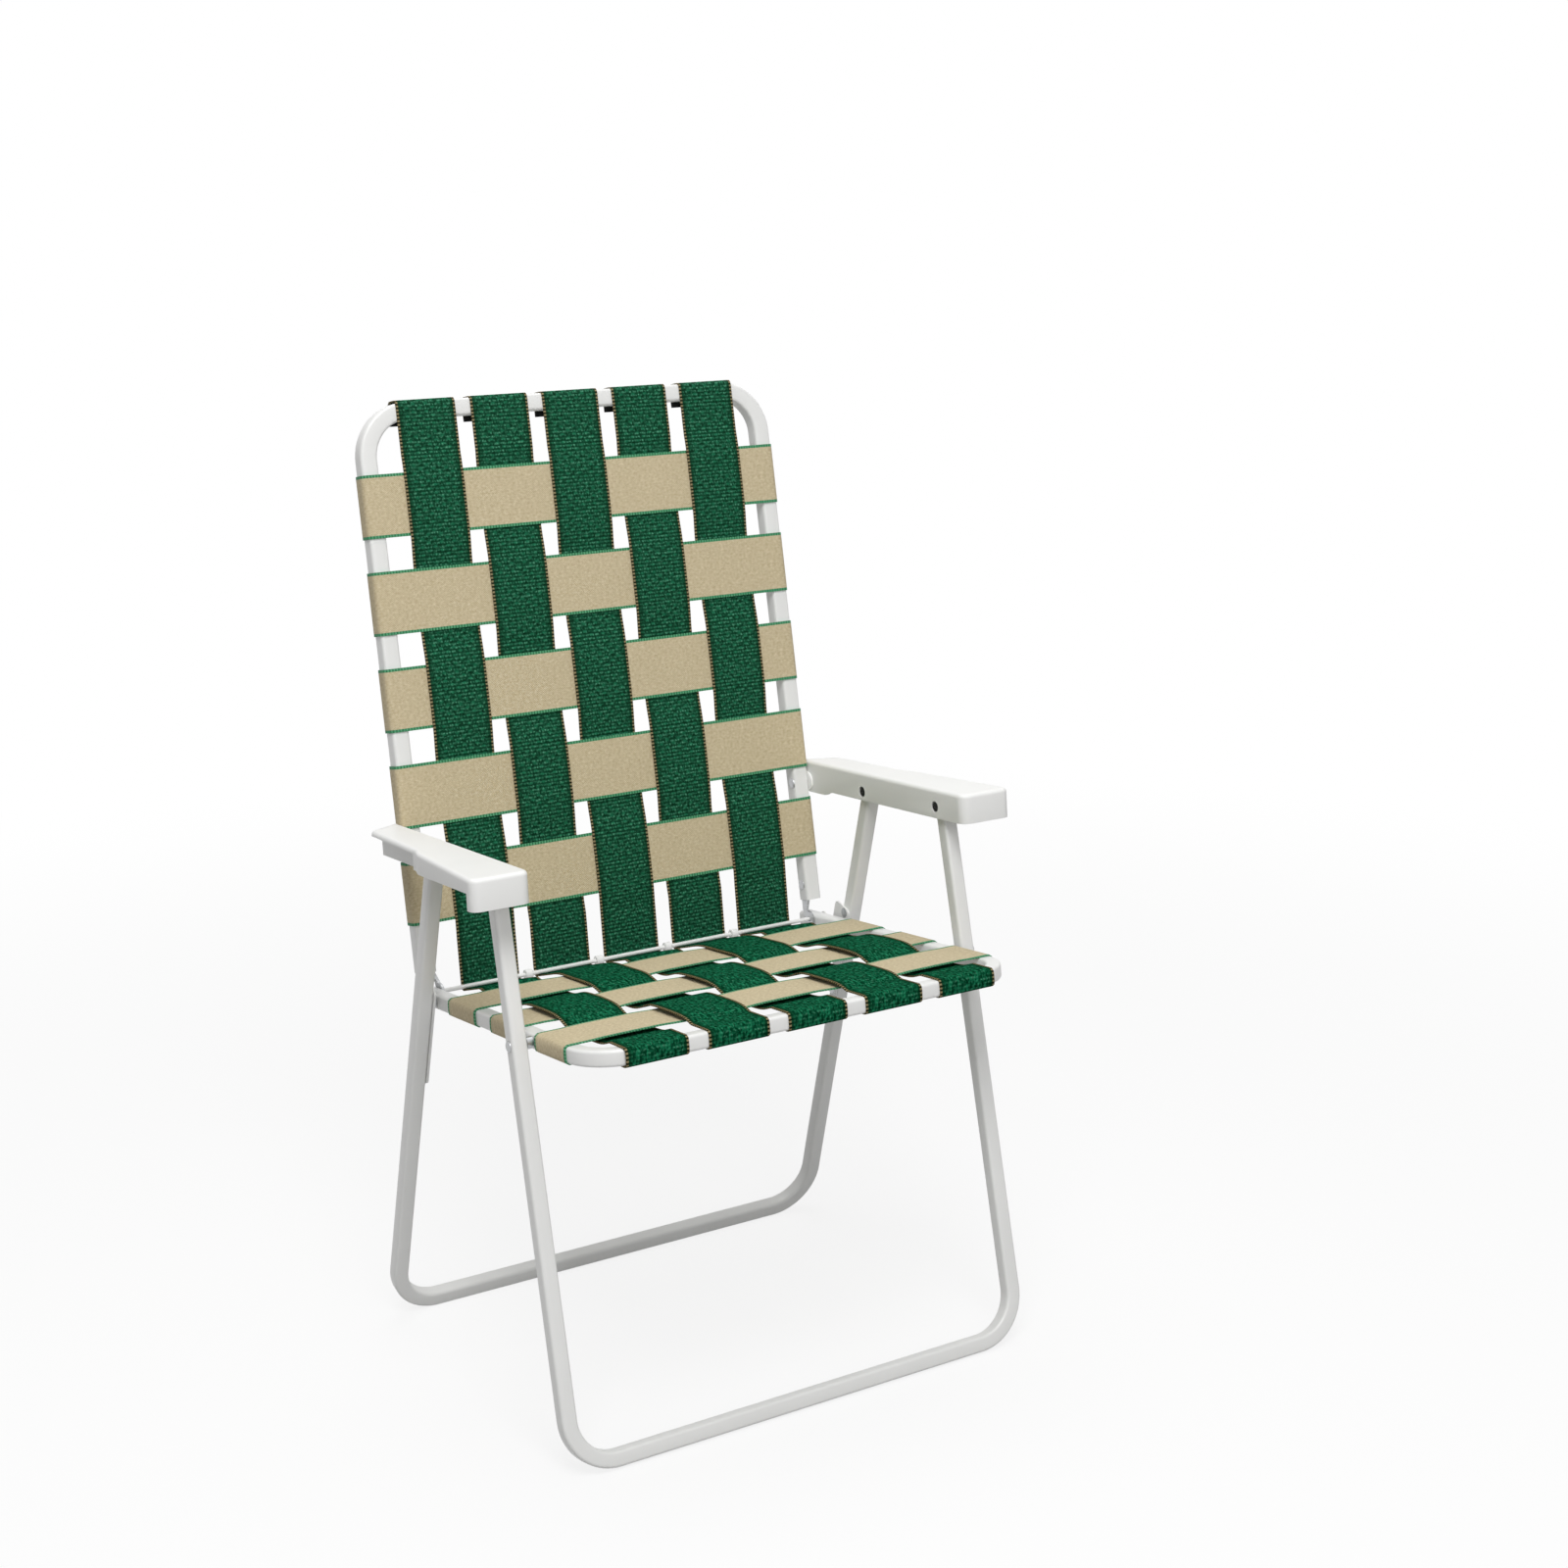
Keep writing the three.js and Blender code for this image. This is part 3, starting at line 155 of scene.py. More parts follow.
TAIL_WALL_OUT = 0.0215
TAIL_WALL_DEPTH = 0.0235
TAIL_WALL_BEHIND_SCREW = 0.013
TAIL_WALL_BEFORE_RIVET = 0.0063
TAIL_WALL_CORNER = 0.0045
HEEL_CORNER = 0.009
HEEL_CUTS = (-0.008, -0.003, 0.003, 0.008)
HEEL_DROPS = ((-0.0035, 0.0007), (0.0025, 0.0026), (0.0075, 0.0007))
ARM_RIBS = ((0.1, 0.042), (0.172, 0.0338), (0.2335, 0.0315))
RIB_START = 0.001
RIB_THICKNESS = 0.0016
RIB_DEPTH = 0.0014
RIB_SUNK = 0.001
BOSS_RADIUS = 0.0075
BOSS_RISE = 0.0012
BACK_BOSS_RADIUS = 0.0095
BACK_BOSS_RISE = 0.0016
RECESS_RADIUS = 0.0052
RECESS_DEPTH = 0.0018

# What counts as the same place
TOUCH = 1e-5

# The photograph's camera: its lens in pixels, its place, and its turns in degrees
PHOTO_PIXELS = 1600
FOCAL_PIXELS = 2663.33
AXIS_X = 960
AXIS_Y = 641.87
CAMERA_PLACE = (-1.08342, -1.99829, 1.09097)
CAMERA_AZIMUTH = -34.26
CAMERA_PITCH = 10.93

# What the lamps shine at
CHAIR_MIDDLE = (0, 0, 0.45)

PIVOTS = {joint["name"]: Vector(joint["pos_m"]) for joint in frame["joints"]}
SIDES = (("left", -1), ("right", 1))


def leaning(point, degrees):
    """A place in the chair: a point, and the frame's lean about the left-to-right axis."""
    return Matrix.Translation(point) @ Matrix.Rotation(math.radians(degrees), 4, "X")


SEAT = leaning(PIVOTS["back_fold"], -SEAT_SLOPE)
BACK = leaning(PIVOTS["back_fold"], -BACK_LEAN)
FRONT_LEGS = leaning(PIVOTS["front_leg_fold"], -FRONT_LEG_LEAN)
REAR_LEGS = leaning(PIVOTS["rear_leg_fold"], REAR_LEG_LEAN)
ARMS = leaning(ARM_ORIGIN, -ARM_TILT)


# Finishes


class Value:
    """One output of a finish's nodes. Arithmetic on it adds Math nodes."""

    def __init__(self, finish, socket):
        self.finish = finish
        self.socket = socket

    def math(self, operation, first, second=0.0):
        return self.finish.node("ShaderNodeMath", {"operation": operation}, {0: first, 1: second})

    def __add__(self, other):
        return self.math("ADD", self, other)

    def __sub__(self, other):
        return self.math("SUBTRACT", self, other)

    def __rsub__(self, other):
        return self.math("SUBTRACT", other, self)

    def __mul__(self, other):
        return self.math("MULTIPLY", self, other)

    def __truediv__(self, other):
        return self.math("DIVIDE", self, other)

    __radd__ = __add__
    __rmul__ = __mul__

    def wave(self, pitch, phase=0.0):
        """A sine from 0 to 1 that repeats every pitch."""
        return self.math("SINE", self * (2 * math.pi / pitch) + phase) * 0.5 + 0.5

    def size(self):
        return self.math("ABSOLUTE", self)

    def whole(self):
        return self.math("FLOOR", self)

    def step(self, low, high):
        """0 below low and 1 above high, with a smooth rise between."""
        ranges = {"From Min": low, "From Max": high}
        settings = {"interpolation_type": "SMOOTHSTEP"}
        return self.finish.node("ShaderNodeMapRange", settings, {"Value": self, **ranges})


class Finish:
    """A material whose nodes are added one by one."""

    def __init__(self, name):
        self.material = bpy.data.materials.new(name)
        self.material.use_nodes = True
        self.tree = self.material.node_tree
        self.surface = self.tree.nodes["Principled BSDF"]

    def node(self, kind, settings=None, inputs=None, output=0):
        node = self.tree.nodes.new(kind)
        for name, value in (settings or {}).items():
            setattr(node, name, value)
        for key, value in (inputs or {}).items():
            self.feed(node.inputs[key], value)
        return Value(self, node.outputs[output])

    def feed(self, socket, value):
        if isinstance(value, Value):
            self.tree.links.new(value.socket, socket)
        else:
            socket.default_value = value

    def set(self, **values):
        """Sets or links sockets of the surface shader: Base_Color stands for Base Color."""
        for name, value in values.items():
            self.feed(self.surface.inputs[name.replace("_", " ")], value)
        return self

    def place(self):
        return self.node("ShaderNodeTexCoord", output="Object")

    def cloth_place(self):
        """The strap's own (across, along) coordinates, in metres."""
        uv = self.node("ShaderNodeUVMap", {"uv_map": "UVMap"})
        split = {"Vector": uv}
        across = self.node("ShaderNodeSeparateXYZ", None, split, "X")
        along = self.node("ShaderNodeSeparateXYZ", None, split, "Y")
        return uv, across, along

    def noise(self, where, scale, detail=2.0, roughness=0.5):
        sockets = {"Vector": where, "Scale": scale, "Detail": detail, "Roughness": roughness}
        return self.node("ShaderNodeTexNoise", None, sockets)

    def stretched(self, where, scale):
        return self.node("ShaderNodeMapping", None, {"Vector": where, "Scale": scale})

    def mix(self, share, first, second):
        sockets = {0: share, 6: first, 7: second}
        settings = {"data_type": "RGBA"}
        return self.node("ShaderNodeMix", settings, sockets, 2)

    def bump(self, height, distance, strength=1.0):
        sockets = {"Height": height, "Distance": distance, "Strength": strength}
        self.set(Normal=self.node("ShaderNodeBump", None, sockets))
        return self


def colour(red, green, blue):
    """A linear colour from its 0 to 255 display values."""

    def linear(c):
        c = c / 255
        return c / 12.92 if c <= 0.04045 else ((c + 0.055) / 1.055) ** 2.4

    return (linear(red), linear(green), linear(blue), 1.0)


def powder_coat():
    """White powder coat on the tubes: a fine orange peel and a faint change of gloss."""
    finish = Finish("white_powder_coat")
    where = finish.place()
    cloud = finish.noise(where, 14.0, 3.0)
    peel = finish.noise(where, 1300.0, 1.0)
    tone = finish.mix(cloud, colour(236, 236, 234), colour(243, 243, 241))
    finish.set(Base_Color=tone, Roughness=cloud * 0.12 + 0.3, Coat_Weight=0.15)
    return finish.bump(peel, 0.00004, 0.5).material


def arm_plastic():
    """Moulded white plastic: satin, with a slight grain."""
    finish = Finish("white_arm_plastic")
    where = finish.place()
    cloud = finish.noise(where, 22.0, 2.0)
    grain = finish.noise(where, 2600.0, 2.0)
    tone = finish.mix(cloud, colour(245, 245, 243), colour(250, 250, 248))
    finish.set(Base_Color=tone, Roughness=grain * 0.1 + 0.42)
    return finish.bump(grain, 0.00003, 0.35).material


def plated_steel():
    """Zinc-plated rivets, pins and screws, a little scuffed."""
    finish = Finish("plated_steel")
    where = finish.place()
    scuffs = finish.noise(finish.stretched(where, (60.0, 900.0, 900.0)), 1.0, 4.0)
    tone = finish.mix(scuffs, colour(150, 152, 154), colour(205, 206, 207))
    finish.set(Base_Color=tone, Metallic=1.0, Roughness=scuffs * 0.25 + 0.25)
    return finish.bump(scuffs, 0.00004, 0.3).material


def dark_screws():
    """Blackened screws in the armrests, with a dull sheen."""
    finish = Finish("dark_screw_steel")
    where = finish.place()
    scuffs = finish.noise(where, 700.0, 3.0)
    tone = finish.mix(scuffs, colour(24, 24, 26), colour(58, 58, 60))
    finish.set(Base_Color=tone, Metallic=0.6, Roughness=scuffs * 0.25 + 0.35)
    return finish.bump(scuffs, 0.00004, 0.3).material


# light is the share of painted light on the loops, glints and twill: 1 on the back, less on the
# seat's darker copy.
def green_webbing(name, grain, light, gloss):
    """Deep green webbing: crosswise ribs with painted light on their raised loops, painted shade in
    their grooves and painted glints, a band of painted shade along both edges, sandy fringes.
    """
    finish = Finish(name)
    where, across, along = finish.cloth_place()
    row = (along / RIB_PITCH).whole()
    ribs = along.wave(RIB_PITCH)
    loops = across.wave(0.0027, row * 2.2)
    cloud = finish.noise(where, 45.0, 2.0)
    fleck = finish.noise(finish.stretched(where, (*grain, 1.0)), 1.0, 3.0, 0.6)
    glint = finish.noise(finish.stretched(where, (420.0, 330.0, 1.0)), 1.0, 3.0, 0.6)
    # Painted light and shade: the raised rib loops take the pale lit colour and the grooves between
    # them the darker deep colour.
    raised = ribs * (loops * 0.6 + 0.4)
    deep = finish.mix(cloud, colour(1, 50, 29), colour(4, 66, 41))
    lit = finish.mix(fleck.step(0.4, 0.72), colour(12, 90, 60), colour(80, 164, 128))
    body = finish.mix(raised * (fleck * 0.8 + 0.35) * light, deep, lit)
    # Painted highlights: pale glints on the raised loops, fewer on the seat copy.
    bright = glint.step(0.5, 0.68) * (raised * 0.85 + 0.1) * light
    body = finish.mix(bright, body, colour(98, 172, 138))
    # Seat copy only: saturated green flecks in place of the painted light that it lacks.
    body = finish.mix(fleck.step(0.48, 0.6) * (1.0 - light) * 1.8, body, colour(24, 132, 90))
    body = finish.mix(1.0 - glint.step(0.34, 0.48), body, colour(1, 44, 24))
    twill = (along + across * 0.6).wave(0.0074) * (along - across * 0.6).wave(0.0074)
    body = finish.mix(twill.step(0.35, 0.8) * 0.35 * light, body, colour(40, 138, 98))
    # Painted shade: a darker band along both edges of the strap, a little lighter on the raised
    # loops.
    edge_shade_share = across.size().step(0.0215, 0.0255)
    dark = finish.mix(raised, colour(2, 34, 18), colour(20, 78, 48))
    fringe = across.size().step(0.0261, 0.0268)
    sandy = finish.mix(ribs.step(0.35, 0.65), colour(36, 38, 22), colour(150, 136, 102))
    tone = finish.mix(fringe, finish.mix(edge_shade_share * 0.85, body, dark), sandy)
    finish.set(Base_Color=tone, Roughness=0.78 - raised * 0.2)
    finish.surface.inputs["Specular IOR Level"].default_value = gloss
    return finish.bump(raised + fleck * 0.35 + twill * 0.3, 0.0006, 0.9).material


def tan_webbing():
    """Sand-coloured webbing: a fine flecked weave between bright green edge threads."""
    finish = Finish("tan_webbing")
    where, across, along = finish.cloth_place()
    weave = across.wave(TAN_THREAD) * along.wave(TAN_THREAD)
    weave += across.wave(TAN_THREAD, math.pi) * along.wave(TAN_THREAD, math.pi)
    fleck = finish.noise(finish.stretched(where, (760.0, 420.0, 1.0)), 1.0, 3.0, 0.65)
    streak = finish.noise(finish.stretched(where, (900.0, 40.0, 1.0)), 1.0, 2.0)
    cloud = finish.noise(where, 30.0, 2.0)
    light = finish.mix(fleck.step(0.3, 0.75), colour(210, 195, 160), colour(234, 222, 192))
    dark = finish.mix(cloud, colour(184, 166, 128), colour(196, 179, 141))
    slub = finish.noise(finish.stretched(where, (420.0, 300.0, 1.0)), 1.0, 4.0, 0.7)
    body = finish.mix(weave * 0.4 + fleck * 0.35 + streak * 0.3, dark, light)
    body = finish.mix(slub.step(0.5, 0.72) * 0.55, body, colour(238, 226, 200))
    body = finish.mix((1.0 - slub.step(0.3, 0.5)) * 0.55, body, colour(176, 156, 118))
    edge = across.size().step(0.0256, 0.0261)
    green = finish.mix(along.wave(0.0028) * fleck * 1.6, colour(34, 108, 68), colour(106, 184, 138))
    finish.set(Base_Color=finish.mix(edge, body, green), Roughness=0.85 - weave * 0.12)
    finish.surface.inputs["Specular IOR Level"].default_value = 0.25
    finish.surface.inputs["Sheen Weight"].default_value = 0.08
    return finish.bump(weave + fleck * 0.5, 0.0003, 0.7).material


def black_tape():
    """Black woven tape that holds the strap ends."""
    finish = Finish("black_tape")
    where, across, along = finish.cloth_place()
    weave = across.wave(0.0014) * along.wave(0.0014)
    grain = finish.noise(where, 300.0, 2.0)
    tone = finish.mix(weave * grain, colour(16, 16, 17), colour(46, 46, 48))
    finish.set(Base_Color=tone, Roughness=0.8 - weave * 0.2)
    return finish.bump(weave, 0.0002, 0.5).material


POWDER = powder_coat()
PLASTIC = arm_plastic()
STEEL = plated_steel()
DARK_STEEL = dark_screws()
# The seat's copy carries painted shade: less painted light on its loops, fewer glints and less
# twill, to offset the stronger lamp light on its upward face.
BACK_GREEN = green_webbing("green_back_webbing", (620.0, 300.0), 1.0, 0.08)
SEAT_GREEN = green_webbing("green_seat_webbing", (480.0, 120.0), 0.7, 0.0)
TAN = tan_webbing()
TAPE = black_tape()


# Ways of making


def begin(add, **settings):
    """Adds a primitive, with nothing else selected, and opens it in edit mode."""
    for chosen in list(bpy.context.selected_objects):
        chosen.select_set(False)
    add(**settings)
    bpy.ops.object.mode_set(mode="EDIT")
    return bpy.context.object


def finish_piece(piece, name, place, material, slot, body, *nodes, angle=40):
    """Puts a piece in its place, with its finish, and lets it ride on its body."""
    bpy.ops.object.mode_set(mode="EDIT")
    bpy.ops.mesh.select_all(action="SELECT")
    bpy.ops.mesh.remove_doubles(threshold=1e-6)
    bpy.ops.mesh.normals_make_consistent(inside=False)
    bpy.ops.object.mode_set(mode="OBJECT")
    bpy.ops.object.shade_smooth_by_angle(angle=math.radians(angle))
    piece.name = name
    piece.data.name = name
    piece.data.transform(place)
    piece.data.materials.clear()
    piece.data.materials.append(material)
    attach(piece, body)
    if nodes:
        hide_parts(*nodes)
    return piece


def modify(piece, kind, **settings):
    """Adds a modifier to the piece and applies it."""
    bpy.ops.object.mode_set(mode="OBJECT")
    bpy.context.view_layer.objects.active = piece
    modifier = piece.modifiers.new(kind.title(), kind)
    for name, value in settings.items():
        setattr(modifier, name, value)
    bpy.ops.object.modifier_apply(modifier=modifier.name)


def extrude_edges(*by):
    bpy.ops.mesh.extrude_edges_move(TRANSFORM_OT_translate={"value": by})


def extrude_faces(*by):
    bpy.ops.mesh.extrude_region_move(TRANSFORM_OT_translate={"value": by})


def bent_tube(size, spread, height, bend):
    """A U of square tube in the XZ plane, open at the top, as if drawn along its bends."""
    tube = begin(
        bpy.ops.mesh.primitive_plane_add, size=size, location=(-spread / 2, 0, height)
    )
    bpy.ops.object.mode_set(mode="OBJECT")
    bpy.ops.object.transform_apply(location=True, rotation=True, scale=True)
    bpy.ops.object.mode_set(mode="EDIT")
    bpy.ops.mesh.select_all(action="SELECT")
    bpy.ops.mesh.bevel(offset=TUBE_CORNER, segments=5, affect="VERTICES")
    bpy.ops.mesh.delete(type="ONLY_FACE")
    bpy.ops.mesh.select_all(action="SELECT")
    turn = {"steps": 18, "angle": math.pi / 2, "axis": (0, 1, 0)}
    extrude_edges(0, 0, bend - height)
    bpy.ops.mesh.spin(center=(bend - spread / 2, 0, bend), **turn)
    extrude_edges(spread - 2 * bend, 0, 0)
    bpy.ops.mesh.spin(center=(spread / 2 - bend, 0, bend), **turn)
    extrude_edges(0, 0, height - bend)
    bpy.ops.mesh.select_all(action="SELECT")
    bpy.ops.mesh.normals_make_consistent(inside=False)
    modify(tube, "SOLIDIFY", thickness=TUBE_WALL, offset=-1)
    return tube


def turned(profile, side=1):
    """A turned piece on the X axis, drawn out ring by ring from (x, radius) stations."""
    start_x = profile[0][0]
    x, radius = profile[0]
    piece = begin(
        bpy.ops.mesh.primitive_circle_add,
        vertices=36,
        radius=radius,
        fill_type="NGON",
        rotation=(0, math.pi / 2, 0),
    )
    bpy.ops.object.mode_set(mode="OBJECT")
    bpy.ops.object.transform_apply(location=True, rotation=True, scale=True)
    bpy.ops.object.mode_set(mode="EDIT")
    for next_x, next_radius in profile[1:]:
        extrude_faces(next_x - x, 0, 0)
        grow = next_radius / radius
        middle = (next_x - start_x, 0, 0)
        bpy.ops.transform.resize(value=(1, grow, grow), center_override=middle)
        x, radius = next_x, next_radius
    bpy.ops.object.mode_set(mode="OBJECT")
    start = Matrix.Translation((start_x, 0, 0))
    flip = Matrix.Identity(4) if side > 0 else Matrix.Rotation(math.pi, 4, "Z")
    piece.data.transform(flip @ start)
    return piece


def dome(x, radius, height, shank, way):
    """Stations of a rivet's domed head whose flat face is at x, from its crown to its rim."""
    crown = [(0.0, 1.0), (0.35, 0.97), (0.7, 0.84), (0.93, 0.58), (1.0, 0.22)]
    rim = [(x + way * height * up, radius * out) for up, out in crown]
    return [(x, shank)] + rim if way > 0 else list(reversed(rim)) + [(x, shank)]


def rivet(start, end, height=RIVET_HEAD):
    """Stations of a rivet with a domed head at each end."""
    head, shank = RIVET_HEAD_RADIUS, RIVET_RADIUS
    return dome(start, head, height, shank, -1) + dome(end, head, height, shank, 1)


def at_node(node):
    """The place of the left-to-right axis through the middle of a fitting."""
    low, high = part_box(node)
    middle = (low + high) / 2
    return Matrix.Translation((0, middle.y, middle.z))


def keep_node(node, material):
    """A flat fitting whose drawn shape is right gets its finish."""
    mesh = frame["nodes"][node].data
    mesh.materials.clear()
    mesh.materials.append(material)


# Frames


def make_frames():
    """The four bent tubes: two leg frames, the seat's frame and the back's frame."""
    lay = Matrix.Rotation(-math.pi / 2, 4, "X")
    over = Matrix.Rotation(math.pi, 4, "X")
    tube = bent_tube(LEG_TUBE, LEG_SPREAD, FRONT_LEG_BELOW_PIVOT + FRONT_LEG_ABOVE_PIVOT, LEG_BEND)
    place = FRONT_LEGS @ Matrix.Translation((0, 0, -FRONT_LEG_BELOW_PIVOT))
    coat = (POWDER, "frame_white")
    finish_piece(tube, "front_leg_tube", place, *coat, "front_legs", "front_leg_frame")
    tube = bent_tube(LEG_TUBE, LEG_SPREAD, REAR_LEG_BELOW_PIVOT + REAR_LEG_ABOVE_PIVOT, LEG_BEND)
    place = REAR_LEGS @ Matrix.Translation((0, 0, -REAR_LEG_BELOW_PIVOT))
    finish_piece(tube, "rear_leg_tube", place, *coat, "rear_legs", "rear_leg_frame")
    tube = bent_tube(SEAT_TUBE, SEAT_SPREAD, SEAT_REACH + RAIL_BEHIND_HINGE, SEAT_BEND)
    place = SEAT @ Matrix.Translation((0, -SEAT_REACH, -RAIL_BELOW_HINGE)) @ lay
    finish_piece(tube, "seat_tube", place, *coat, "seat", "seat_frame")
    tube = bent_tube(BACK_TUBE, BACK_SPREAD, BACK_LENGTH - BACK_END_ABOVE_HINGE, BACK_BEND)
    place = BACK @ Matrix.Translation((0, BACK_BEHIND_HINGE, BACK_LENGTH)) @ over
    finish_piece(tube, "back_tube", place, *coat, "back", "back_frame")


# Fittings


def make_rod():
    """The cross rod with four collars that keep the straps apart."""
    half, edge = COLLAR_HALF, COLLAR_RADIUS * 0.86
    cap = ((0.0016, 0.0034), (0.0013, 0.0046), (0.0, 0.0048))
    stations = [(-ROD_HALF - out, radius) for out, radius in cap] + [(-ROD_HALF, ROD_RADIUS)]
    for column in (-1.5, -0.5, 0.5, 1.5):
        x = column * BACK_PITCH
        stations += [
            (x - half, ROD_RADIUS),
            (x - half, edge),
            (x - half * 0.8, COLLAR_RADIUS),
            (x + half * 0.8, COLLAR_RADIUS),
            (x + half, edge),
            (x + half, ROD_RADIUS),
        ]
    stations += [(ROD_HALF, ROD_RADIUS)]
    stations += [(ROD_HALF + out, radius) for out, radius in reversed(cap)]
    rod = turned(stations)
    place = Matrix.Translation(PIVOTS["back_fold"])
    finish_piece(rod, "cross_rod", place, POWDER, "frame_white", "seat", "hinge_rod")


def make_fittings():
    """Rivets, pins, spacers and screws, each side."""
    leg_out = (LEG_SPREAD + LEG_TUBE) / 2 + CLEARANCE
    leg_in = (LEG_SPREAD - LEG_TUBE) / 2
    rail_in = (SEAT_SPREAD - SEAT_TUBE) / 2 - CLEARANCE
    rail_out = (SEAT_SPREAD + SEAT_TUBE) / 2
    back_in = (BACK_SPREAD - BACK_TUBE) / 2
    screw_seat = ARM_INNER + RECESS_DEPTH - CLEARANCE
    pin_tip = leg_in - PIN_TIP_GAP
    head = rail_out - TUBE_WALL - CLEARANCE
    collar = rail_out + CLEARANCE
    pin = [
        (head - RIVET_HEAD, RIVET_HEAD_RADIUS - HEAD_EDGE),
        (head, RIVET_HEAD_RADIUS),
        (head, PIN_RADIUS),
        (collar, PIN_RADIUS),
        (collar, SPACER_RADIUS),
        (collar + RIVET_HEAD, SPACER_RADIUS),
        (collar + RIVET_HEAD, PIN_RADIUS),
        (pin_tip - TURNED_EDGE, PIN_RADIUS),
        (pin_tip, PIN_RADIUS - TURNED_EDGE),
    ]
    spacer = [
        (rail_out + CLEARANCE, SPACER_RADIUS - TURNED_EDGE),
        (rail_out + CLEARANCE + TURNED_EDGE, SPACER_RADIUS),
        (leg_in - CLEARANCE - TURNED_EDGE, SPACER_RADIUS),
        (leg_in - CLEARANCE, SPACER_RADIUS - TURNED_EDGE),
    ]
    dimpled = ((0.0004, 0.0006), (0.0014, 0.0012), (0.0016, 0.003), (0.0011, 0.0042))
    screw = [(screw_seat - height, radius) for height, radius in dimpled] + [
        (screw_seat, SCREW_HEAD_RADIUS),
        (screw_seat, SCREW_RADIUS),
        (leg_out, SCREW_RADIUS),
        (leg_out, NUT_RADIUS - HEAD_EDGE),
        (leg_out + HEAD_EDGE, NUT_RADIUS),
        (leg_out + NUT_HEIGHT - HEAD_EDGE, NUT_RADIUS),
        (leg_out + NUT_HEIGHT, NUT_RADIUS - HEAD_EDGE),
    ]
    tongue_x = back_in + TUBE_WALL + 2 * CLEARANCE + TONGUE
    tongue_rivet = rivet(back_in - CLEARANCE, tongue_x, LOW_RIVET_HEAD)
    plate_x = leg_in - 1.5 * CLEARANCE - PLATE
    plate_rivet = rivet(plate_x, leg_in + TUBE_WALL + CLEARANCE, PLATE_RIVET_HEAD)
    fittings = (
        ("seat_pivot_rivet", "seat", rivet(rail_in, leg_out)),
        ("seat_pivot_spacer", "seat", spacer),
        ("guide_pin", "seat", pin),
        ("tongue_rivet", "back", tongue_rivet),
        ("guide_plate_rivet_1", "rear_legs", plate_rivet),
        ("guide_plate_rivet_2", "rear_legs", plate_rivet),
        ("arm_front_screw", "arms", screw),
        ("arm_rear_screw", "arms", screw),
        ("arm_back_rivet", "arms", rivet(back_in - CLEARANCE, ARM_INNER + ARM_WALL + CLEARANCE)),
    )
    for name, body, stations in fittings:
        steel = DARK_STEEL if name.endswith("screw") else STEEL
        for label, side in SIDES:
            node = f"{name}_{label}"
            piece = turned(stations, side)
            finish_piece(piece, f"steel_{node}", at_node(node), steel, "steel", body, node)
    for label, _ in SIDES:
        keep_node(f"hinge_tongue_{label}", STEEL)
        keep_node(f"guide_plate_{label}", POWDER)


# Armrests


def pick(piece, kind, test):
    """Selects only the vertices, edges or faces whose middle passes the test."""
    bpy.ops.mesh.select_mode(type={"vertices": "VERT", "polygons": "FACE"}[kind])
    bpy.ops.mesh.select_all(action="DESELECT")
    bpy.ops.object.mode_set(mode="OBJECT")
    for part in getattr(piece.data, kind):
        middle = part.co if kind == "vertices" else part.center
        part.select = test(middle, part)
    bpy.ops.object.mode_set(mode="EDIT")


def round_corner(piece, x, y, radius, segments=6):
    """Rounds the plan's corner at (x, y)."""
    pick(piece, "vertices", lambda at, _: (at - Vector((x, y, 0))).length < 1e-4)
    bpy.ops.mesh.bevel(offset=radius, segments=segments, affect="VERTICES")


